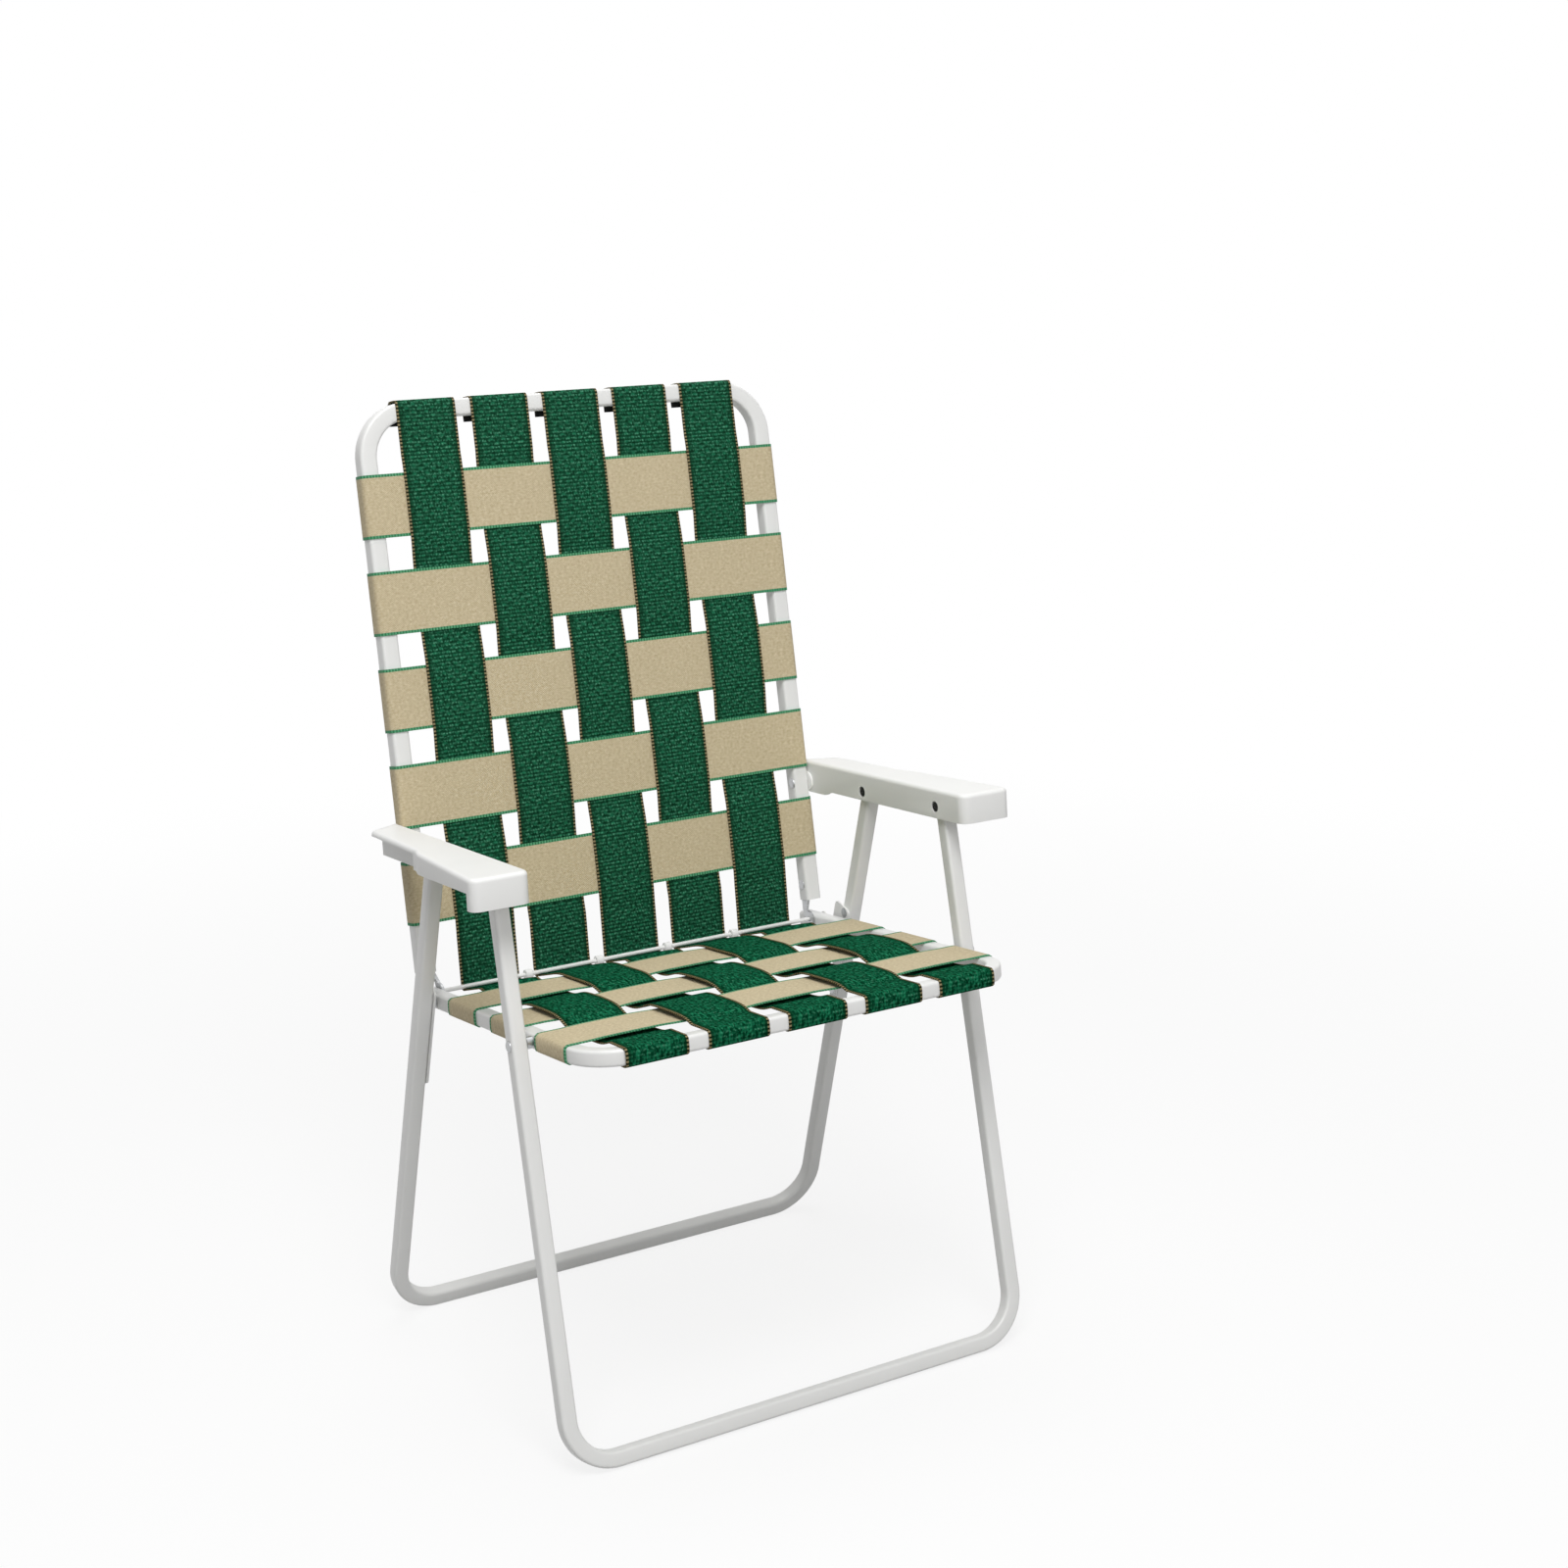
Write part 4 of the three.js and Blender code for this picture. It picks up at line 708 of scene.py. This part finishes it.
def armrest_body():
    """One armrest from above: its plan drawn down into plate, lip, inner web and front block."""
    neck = ARM_BLOCK_REAR - ARM_JOG
    plan = [
        (0.0, 0.0),
        (ARM_WIDTH, 0.0),
        (ARM_BLOCK_REAR, ARM_BLOCK - ARM_JOG_RUN / 2),
        (neck, ARM_BLOCK + ARM_JOG_RUN / 2),
        (ARM_TAIL, ARM_LENGTH - ARM_SKEW),
        (0.0, ARM_LENGTH),
    ]
    arm = begin(bpy.ops.mesh.primitive_circle_add, vertices=len(plan), fill_type="NGON")
    bpy.ops.object.mode_set(mode="OBJECT")
    for vertex, (x, y) in zip(arm.data.vertices, plan):
        vertex.co = (x, y, 0)
    bpy.ops.object.mode_set(mode="EDIT")
    radii = (ARM_CORNER,) * 2 + (JOG_CORNER,) * 2 + (TAIL_CORNER,) * 2
    for (x, y), radius in zip(plan, radii):
        round_corner(arm, x, y, radius)
    bpy.ops.mesh.select_all(action="SELECT")
    extrude_faces(0, 0, -ARM_LIP)
    bpy.ops.mesh.inset(thickness=LIP_WALL)
    extrude_faces(0, 0, ARM_LIP - ARM_WALL)
    bpy.ops.mesh.select_all(action="SELECT")
    bpy.ops.mesh.normals_make_consistent(inside=False)
    pick(arm, "polygons", lambda at, face: face.normal.z > 0.9 and at.z > -TOUCH)
    bpy.ops.mesh.region_to_loop()
    bpy.ops.mesh.bevel(offset=ARM_EDGE, segments=6, affect="EDGES")
    for y in (ARM_RETURN, BLOCK_LIP_END):
        bpy.ops.mesh.select_all(action="SELECT")
        bpy.ops.mesh.bisect(plane_co=(0, y, 0), plane_no=(0, 1, 0))
    under = -ARM_LIP + TOUCH

    def deep(at, face):
        at_front = at.y < ARM_RETURN
        at_web = at.x < ARM_WALL and at.y < ARM_LENGTH - 0.004
        return face.normal.z < -0.9 and at.z < under and (at_front or at_web)

    def block_lip(at, face):
        at_side = at.x > ARM_WALL and ARM_RETURN < at.y < BLOCK_LIP_END
        return face.normal.z < -0.9 and at.z < under and at_side

    pick(arm, "polygons", deep)
    extrude_faces(0, 0, ARM_LIP - ARM_DEPTH)
    pick(arm, "polygons", block_lip)
    extrude_faces(0, 0, ARM_LIP - BLOCK_LIP_FRONT)
    low = TOUCH - BLOCK_LIP_FRONT
    pick(arm, "vertices", lambda at, _: low - 3 * TOUCH < at.z < low and at.y > ARM_BLOCK / 2)
    bpy.ops.transform.translate(value=(0, 0, BLOCK_LIP_FRONT - BLOCK_LIP_REAR))
    lower_heel(arm)
    return arm


def lower_heel(arm):
    """Makes the rear end of the web deeper, with a soft step and a rounded end."""
    for y in HEEL_CUTS:
        bpy.ops.mesh.select_all(action="SELECT")
        bpy.ops.mesh.bisect(plane_co=(0, ARM_HEEL_START + y, 0), plane_no=(0, 1, 0))
    for start, drop in HEEL_DROPS:
        beyond = ARM_HEEL_START + start
        pick(arm, "vertices", lambda at, _: at.z < 0.0005 - ARM_DEPTH and at.y > beyond)
        bpy.ops.transform.translate(value=(0, 0, -drop))
    rear = ARM_LENGTH - 0.0045
    pick(arm, "vertices", lambda at, _: at.z < -ARM_DEPTH and at.y > rear)
    bpy.ops.mesh.bevel(offset=HEEL_CORNER, segments=8, affect="EDGES")


def add_tail_walls(arm, start, end):
    """The outer wall behind the rear leg and the wall that closes it at the rear."""
    half = Vector((ARM_WALL, end - start, TAIL_WALL_DEPTH - ARM_WALL / 2)) / 2
    middle = Vector((TAIL_WALL_OUT - half.x, start + half.y, half.z - TAIL_WALL_DEPTH))
    bpy.ops.mesh.select_all(action="DESELECT")
    bpy.ops.mesh.primitive_cube_add(size=2, location=middle, scale=half)
    bpy.ops.mesh.bisect(plane_co=(0, end - ARM_WALL, 0), plane_no=(0, 1, 0))
    inner = TAIL_WALL_OUT - ARM_WALL

    def towards_web(at, face):
        return face.normal.x < -0.9 and abs(at.x - inner) < TOUCH and at.y > end - ARM_WALL

    pick(arm, "polygons", towards_web)
    extrude_faces(ARM_WALL / 2 - inner, 0, 0)
    corner = Vector((TAIL_WALL_OUT, end))
    pick(arm, "vertices", lambda at, _: (at.xy - corner).length < TOUCH)
    bpy.ops.mesh.bevel(offset=TAIL_WALL_CORNER, segments=6, affect="EDGES")


def add_back_boss(y, z):
    """The round boss on the web that bears on the back tube."""
    sunk = 0.8 * ARM_WALL
    bpy.ops.mesh.select_all(action="DESELECT")
    bpy.ops.mesh.primitive_cylinder_add(
        vertices=56,
        radius=BACK_BOSS_RADIUS,
        depth=sunk + BACK_BOSS_RISE,
        location=((sunk - BACK_BOSS_RISE) / 2, y, z),
        rotation=(0, math.pi / 2, 0),
    )


def add_ribs_and_bosses(arm, screws):
    """Stiffening ribs under the plate and a boss round each screw."""
    bpy.ops.object.mode_set(mode="EDIT")
    bpy.ops.mesh.select_all(action="DESELECT")
    for y, reach in ARM_RIBS:
        middle = ((RIB_START + reach) / 2, y, (RIB_SUNK - RIB_DEPTH) / 2 - ARM_WALL)
        scale = (reach - RIB_START, RIB_THICKNESS, RIB_DEPTH + RIB_SUNK)
        bpy.ops.mesh.primitive_cube_add(size=1, location=middle, scale=scale)
    for y, z in screws:
        bpy.ops.mesh.primitive_cylinder_add(
            vertices=32,
            radius=BOSS_RADIUS,
            depth=2 * BOSS_RISE,
            location=(ARM_WALL, y, z),
            rotation=(0, math.pi / 2, 0),
        )
    bpy.ops.object.mode_set(mode="OBJECT")


def bore_recesses(arm, screws):
    """The recess in the web that each screw's head sits in."""
    for y, z in screws:
        drill = begin(
            bpy.ops.mesh.primitive_cylinder_add,
            vertices=40,
            radius=RECESS_RADIUS,
            depth=2 * RECESS_DEPTH,
            location=(0.0, y, z),
            rotation=(0, math.pi / 2, 0),
        )
        bpy.ops.object.mode_set(mode="OBJECT")
        modify(arm, "BOOLEAN", operation="DIFFERENCE", object=drill, solver="EXACT")
        bpy.data.objects.remove(drill)


def make_armrests():
    """Both armrests, the left one mirrored, each with its screws' recesses bored."""
    inverse = ARMS.inverted()
    screws = []
    for node in ("arm_front_screw_right", "arm_rear_screw_right"):
        at = inverse @ at_node(node).translation
        screws.append((at.y, at.z))
    back = inverse @ at_node("arm_back_rivet_right").translation
    for label, side in SIDES:
        arm = armrest_body()
        wall_start = screws[1][0] + TAIL_WALL_BEHIND_SCREW
        add_tail_walls(arm, wall_start, back.y - TAIL_WALL_BEFORE_RIVET)
        add_back_boss(back.y, back.z)
        edges = {"limit_method": "ANGLE", "angle_limit": 0.6}
        modify(arm, "BEVEL", width=SMALL_EDGE, segments=3, **edges)
        add_ribs_and_bosses(arm, screws)
        bore_recesses(arm, screws)
        bpy.context.view_layer.objects.active = arm
        arm.select_set(True)
        out = Matrix.Diagonal((side, 1, 1, 1)) @ Matrix.Translation((ARM_INNER, 0, 0))
        node = f"armrest_{label}"
        finish_piece(
            arm, f"moulded_{node}", ARMS @ out, PLASTIC, "arm_plastic", "arms", node, angle=35
        )
        bpy.ops.object.mode_set(mode="EDIT")
        bpy.ops.mesh.select_all(action="SELECT")
        bpy.ops.mesh.normals_make_consistent(inside=False)
        bpy.ops.object.mode_set(mode="OBJECT")


# Webbing


def wrap_level(tube):
    """How far the middle of a strap lies from the middle of the tube that it lies on."""
    return tube / 2 + WRAP_GAP + WEBBING / 2


def wrap_corner(tube, index, middle=(0.0, 0.0), steps=6):
    """The strap's way round one corner of a tube, anticlockwise from corner 0 at +a +b."""
    flat = tube / 2 - TUBE_CORNER
    radius = TUBE_CORNER + WRAP_GAP + WEBBING / 2
    a = middle[0] + (flat if index in (0, 3) else -flat)
    b = middle[1] + (flat if index < 2 else -flat)
    angles = [(index + i / steps) * math.pi / 2 for i in range(steps + 1)]
    return [(a + radius * math.cos(t), b + radius * math.sin(t)) for t in angles]


def weave(position, first, pitch, count, phase):
    """From -1 under to 1 over: a flat-topped wave along a strap that crosses count others."""
    turn = (position - first) / pitch
    if turn < -0.5 or turn > count - 0.5:
        return 0.0
    flat = WEAVE_FLATNESS
    return phase * math.tanh(flat * math.cos(math.pi * turn)) / math.tanh(flat)


def green_phase(row, column):
    """1 where the green strap lies over the tan one. Row 1 is the top of the back."""
    return 1 if (row + column) % 2 == 0 else -1


def spaced(low, high, steps):
    """Even marks from low to high."""
    return [low + (high - low) * i / steps for i in range(steps + 1)]


class StrapLine:
    """The line of a strap in its own plane, measured along its length."""

    def __init__(self, points):
        self.points = [Vector(p) for p in points]
        self.marks = [0.0]
        for a, b in zip(self.points, self.points[1:]):
            self.marks.append(self.marks[-1] + (b - a).length)
        self.length = self.marks[-1]

    def at(self, distance):
        distance = min(max(distance, 0.0), self.length)
        for i, mark in enumerate(self.marks[1:]):
            if distance <= mark:
                share = (distance - self.marks[i]) / max(mark - self.marks[i], 1e-9)
                return self.points[i].lerp(self.points[i + 1], share)
        return self.points[-1]


def lay_strap(line, width, to_space):
    """A grid laid along the line and given its thickness. to_space(a, b, across) turns the
    strap's own plane into the frame's."""
    steps = max(int(line.length / STRAP_STEP), 8)
    strap = begin(
        bpy.ops.mesh.primitive_grid_add, x_subdivisions=12, y_subdivisions=steps, size=1
    )
    bpy.ops.object.mode_set(mode="OBJECT")
    middle = {}
    uv = strap.data.uv_layers.active.data
    for loop in strap.data.loops:
        at = strap.data.vertices[loop.vertex_index].co
        uv[loop.index].uv = (at.x * width, (at.y + 0.5) * line.length)
    for vertex in strap.data.vertices:
        across, along = vertex.co.x * 2, (vertex.co.y + 0.5) * line.length
        key = round(along, 7)
        if key not in middle:
            middle[key] = line.at(along)
        vertex.co = to_space(*middle[key], across * width / 2)
    modify(strap, "SOLIDIFY", thickness=WEBBING, offset=0)
    return strap


def cross_line(tube, spread, pitch, row):
    """A tan strap across a frame, in (x, towards the sitter)."""
    level = wrap_level(tube)
    half = spread / 2
    tuck = tube / 2 - TUBE_CORNER
    first = -(COLUMNS - 1) / 2 * pitch
    corners = wrap_corner(tube, 1, (-half, 0)) + wrap_corner(tube, 2, (-half, 0))
    left = [(-half + tuck, -level)] + corners[::-1]
    reach = COLUMNS / 2 * pitch
    phase = -green_phase(row, 1)
    woven = [
        (x, level + CROWN_CROSS * weave(x, first, pitch, COLUMNS, phase))
        for x in spaced(-reach, reach, COLUMNS * 12)
    ]
    return StrapLine(left + woven + [(-x, n) for x, n in reversed(left)])


def make_tan_straps():
    """The crosswise straps of the back and the seat."""
    for row in range(1, BACK_ROWS + 1):
        line = cross_line(BACK_TUBE, BACK_SPREAD, BACK_PITCH, row)
        height = BACK_FIRST_ROW + (BACK_ROWS - row) * BACK_ROW_PITCH + WIDTH / 2

        def on_back(x, n, across):
            return BACK @ Vector((x, BACK_BEHIND_HINGE - n, height + across))

        strap = lay_strap(line, WIDTH, on_back)
        node = f"tan_back_strap_{row}"
        finish_piece(strap, f"woven_{node}", Matrix(), TAN, "webbing_tan", "back", node, angle=60)
    for row in range(1, SEAT_ROWS + 1):
        rear = SEAT_FIRST_ROW + (row - 1) * SEAT_ROW_PITCH + WIDTH / 2
        pitch = BACK_PITCH + (SEAT_PITCH - BACK_PITCH) * rear / SEAT_REACH
        line = cross_line(SEAT_TUBE, SEAT_SPREAD, pitch, BACK_ROWS + row)

        def on_seat(x, n, across):
            return SEAT @ Vector((x, -rear - across, n - RAIL_BELOW_HINGE))

        strap = lay_strap(line, WIDTH, on_seat)
        node = f"tan_seat_strap_{row}"
        finish_piece(strap, f"woven_{node}", Matrix(), TAN, "webbing_tan", "seat", node, angle=60)


def back_line(column):
    """A green strap up the back and over the top rail, in (towards the sitter, up)."""
    level = wrap_level(BACK_TUBE) - BACK_BEHIND_HINGE
    first = BACK_FIRST_ROW + WIDTH / 2
    phase = green_phase(BACK_ROWS, column)
    rod = ROD_CLEAR + WEBBING / 2
    low = first - BACK_ROW_PITCH / 2
    high = first + (BACK_ROWS - 0.5) * BACK_ROW_PITCH
    woven = [
        (level + CROWN_BACK * weave(z, first, BACK_ROW_PITCH, BACK_ROWS, phase), z)
        for z in spaced(low, high, BACK_ROWS * 16)
    ]
    rail = (-BACK_BEHIND_HINGE, BACK_LENGTH)
    over = wrap_corner(BACK_TUBE, 0, rail) + wrap_corner(BACK_TUBE, 1, rail)
    tail = (-wrap_level(BACK_TUBE) - BACK_BEHIND_HINGE, BACK_LENGTH - BACK_TUBE / 2)
    foot = [(-rod, BACK_STRAP_LOW), (-rod, 2 * rod)]
    return StrapLine(foot + woven + over + [tail])


def seat_line(column):
    """A green strap from under the rod, over the seat and round its front, in (y, z)."""
    level = wrap_level(SEAT_TUBE) - RAIL_BELOW_HINGE
    first = SEAT_FIRST_ROW + WIDTH / 2
    phase = green_phase(BACK_ROWS + 1, column)
    rod = ROD_CLEAR + WEBBING / 2
    under = [(rod * math.cos(t), -rod * math.sin(t)) for t in spaced(0, math.pi / 2, 8)]
    near = first - SEAT_ROW_PITCH / 2
    far = first + (SEAT_ROWS - 0.5) * SEAT_ROW_PITCH
    woven = []
    for y in spaced(near, far, SEAT_ROWS * 16):
        share = min(max((y - first) / SEAT_ROW_PITCH, 0.0), 1.0)
        crown = CROWN_SEAT_REAR + (CROWN_SEAT_FRONT - CROWN_SEAT_REAR) * share
        woven.append((-y, level + crown * weave(y, first, SEAT_ROW_PITCH, SEAT_ROWS, phase)))
    rail = (-SEAT_REACH, -RAIL_BELOW_HINGE)
    over = wrap_corner(SEAT_TUBE, 1, rail) + wrap_corner(SEAT_TUBE, 2, rail)
    tuck = SEAT_TUBE / 2 - TUBE_CORNER - SEAT_REACH
    return StrapLine(under + woven + over + [(tuck, -wrap_level(SEAT_TUBE) - RAIL_BELOW_HINGE)])


def make_green_straps():
    """The lengthwise straps of the back and the seat, which splay a little to the front."""
    for column in range(1, COLUMNS + 1):
        centre = (column - (COLUMNS + 1) / 2) * BACK_PITCH
        line = back_line(column)

        def on_back(n, z, across):
            return BACK @ Vector((centre + across, -n, z))

        strap = lay_strap(line, WIDTH, on_back)
        node = f"green_back_strap_{column}"
        finish_piece(
            strap, f"woven_{node}", Matrix(), BACK_GREEN, "webbing_green", "back", node, angle=60
        )
        line = seat_line(column)
        splay = (column - (COLUMNS + 1) / 2) * (SEAT_PITCH - BACK_PITCH)

        def on_seat(y, z, across):
            share = min(max(-y / SEAT_REACH, 0.0), 1.0)
            return SEAT @ Vector((centre + splay * share + across, y, z))

        strap = lay_strap(line, WIDTH, on_seat)
        node = f"green_seat_strap_{column}"
        finish_piece(
            strap, f"woven_{node}", Matrix(), SEAT_GREEN, "webbing_green", "seat", node, angle=60
        )


def make_end_tapes():
    """The black tape on each strap's end, behind the top rail."""
    back = BACK_BEHIND_HINGE + wrap_level(BACK_TUBE) + WEBBING + WRAP_GAP
    top = BACK_LENGTH + BACK_TUBE / 2 - TAPE_BELOW_TOP
    line = StrapLine([(-WIDTH / 2, 0), (WIDTH / 2, 0)])
    for column in range(1, COLUMNS + 1):
        centre = (column - (COLUMNS + 1) / 2) * BACK_PITCH

        def behind_rail(x, n, across):
            return BACK @ Vector((centre + x, back + n, top - TAPE_HEIGHT / 2 + across))

        tape = lay_strap(line, TAPE_HEIGHT, behind_rail)
        name = f"black_end_tape_{column}"
        finish_piece(tape, name, Matrix(), TAPE, "tape_black", "back", "strap_end_band")


# Studio


def seen_by_eye_or_gloss(finish):
    """1 for what the camera sees, itself or in a gloss, and 0 for light that bounces on."""
    path = finish.tree.nodes.new("ShaderNodeLightPath")
    eye = Value(finish, path.outputs["Is Camera Ray"])
    gloss = Value(finish, path.outputs["Is Glossy Ray"])
    through = Value(finish, path.outputs["Is Transmission Ray"])
    return finish.node("ShaderNodeClamp", None, {"Value": eye + gloss + through})


def make_stage():
    """A pale floor that fades to white further off."""
    floor = begin(bpy.ops.mesh.primitive_plane_add, size=60, location=(0, 20, 0))
    bpy.ops.object.mode_set(mode="OBJECT")
    bpy.ops.object.transform_apply(location=True, rotation=True, scale=True)
    floor.name = "studio_floor"
    finish = Finish("pale_floor")
    seen = seen_by_eye_or_gloss(finish)
    cloud = finish.noise(finish.place(), 3.0)
    pale = finish.mix(cloud, colour(252, 252, 252), colour(254, 254, 254))
    finish.set(Base_Color=finish.mix(seen, colour(170, 170, 170), pale), Roughness=1.0)
    glow = finish.tree.nodes.new("ShaderNodeEmission")
    glow.inputs["Color"].default_value = (1, 1, 1, 1)
    both = finish.tree.nodes.new("ShaderNodeMixShader")
    far = finish.node("ShaderNodeVectorMath", {"operation": "LENGTH"}, {0: finish.place()}, "Value")
    glowing = far.step(0.7, 2.2) * 0.18 + 0.82
    finish.feed(both.inputs[0], seen * glowing)
    finish.tree.links.new(finish.surface.outputs[0], both.inputs[1])
    finish.tree.links.new(glow.outputs[0], both.inputs[2])
    finish.tree.links.new(both.outputs[0], finish.tree.nodes["Material Output"].inputs[0])
    floor.data.materials.append(finish.material)


def make_world():
    """Soft air light, seen as plain white."""
    world = bpy.data.worlds.new("studio_air")
    world.use_nodes = True
    tree = world.node_tree
    air = tree.nodes["Background"]
    air.inputs["Color"].default_value = (1, 1, 1, 1)
    air.inputs["Strength"].default_value = 0.3
    white = tree.nodes.new("ShaderNodeBackground")
    white.inputs["Color"].default_value = (1, 1, 1, 1)
    path = tree.nodes.new("ShaderNodeLightPath")
    mixed = tree.nodes.new("ShaderNodeMixShader")
    seen = path.outputs["Is Camera Ray"]
    for kind in ("Is Glossy Ray", "Is Transmission Ray"):
        both = tree.nodes.new("ShaderNodeMath")
        both.operation = "MAXIMUM"
        tree.links.new(seen, both.inputs[0])
        tree.links.new(path.outputs[kind], both.inputs[1])
        seen = both.outputs[0]
    tree.links.new(seen, mixed.inputs[0])
    tree.links.new(air.outputs[0], mixed.inputs[1])
    tree.links.new(white.outputs[0], mixed.inputs[2])
    tree.links.new(mixed.outputs[0], tree.nodes["World Output"].inputs[0])
    bpy.context.scene.world = world


def area_light(name, place, size, power):
    """A round soft lamp that shines at the chair."""
    light = bpy.data.lights.new(name, "AREA")
    light.shape = "DISK"
    light.size = size
    light.energy = power
    lamp = bpy.data.objects.new(name, light)
    bpy.context.scene.collection.objects.link(lamp)
    lamp.location = place
    way = Vector(CHAIR_MIDDLE) - Vector(place)
    lamp.rotation_euler = way.to_track_quat("-Z", "Y").to_euler()


def make_lights():
    """The main lamp high in front, and two weaker ones overhead and in front."""
    area_light("high_soft_box", (-0.9, -1.6, 3.1), 1.6, 56)
    area_light("overhead_soft_box", (0.2, 0.6, 3.0), 1.8, 18)
    area_light("front_fill", (-0.4, -3.0, 1.5), 1.4, 14)


def make_camera():
    """The photograph's camera: in front of the chair and to the left, looking down a little."""
    data = bpy.data.cameras.new("photo_camera")
    data.sensor_width = 36
    data.lens = FOCAL_PIXELS / PHOTO_PIXELS * data.sensor_width
    data.shift_x = 0.5 - AXIS_X / PHOTO_PIXELS
    data.shift_y = AXIS_Y / PHOTO_PIXELS - 0.5
    camera = bpy.data.objects.new("photo_camera", data)
    bpy.context.scene.collection.objects.link(camera)
    camera.location = CAMERA_PLACE
    tilt = math.pi / 2 - math.radians(CAMERA_PITCH)
    camera.rotation_euler = (tilt, 0, math.radians(CAMERA_AZIMUTH))
    bpy.context.scene.camera = camera
    bpy.context.scene.view_settings.view_transform = "Standard"


make_frames()
make_rod()
make_fittings()
make_armrests()
make_tan_straps()
make_green_straps()
make_end_tapes()
make_stage()
make_world()
make_lights()
make_camera()
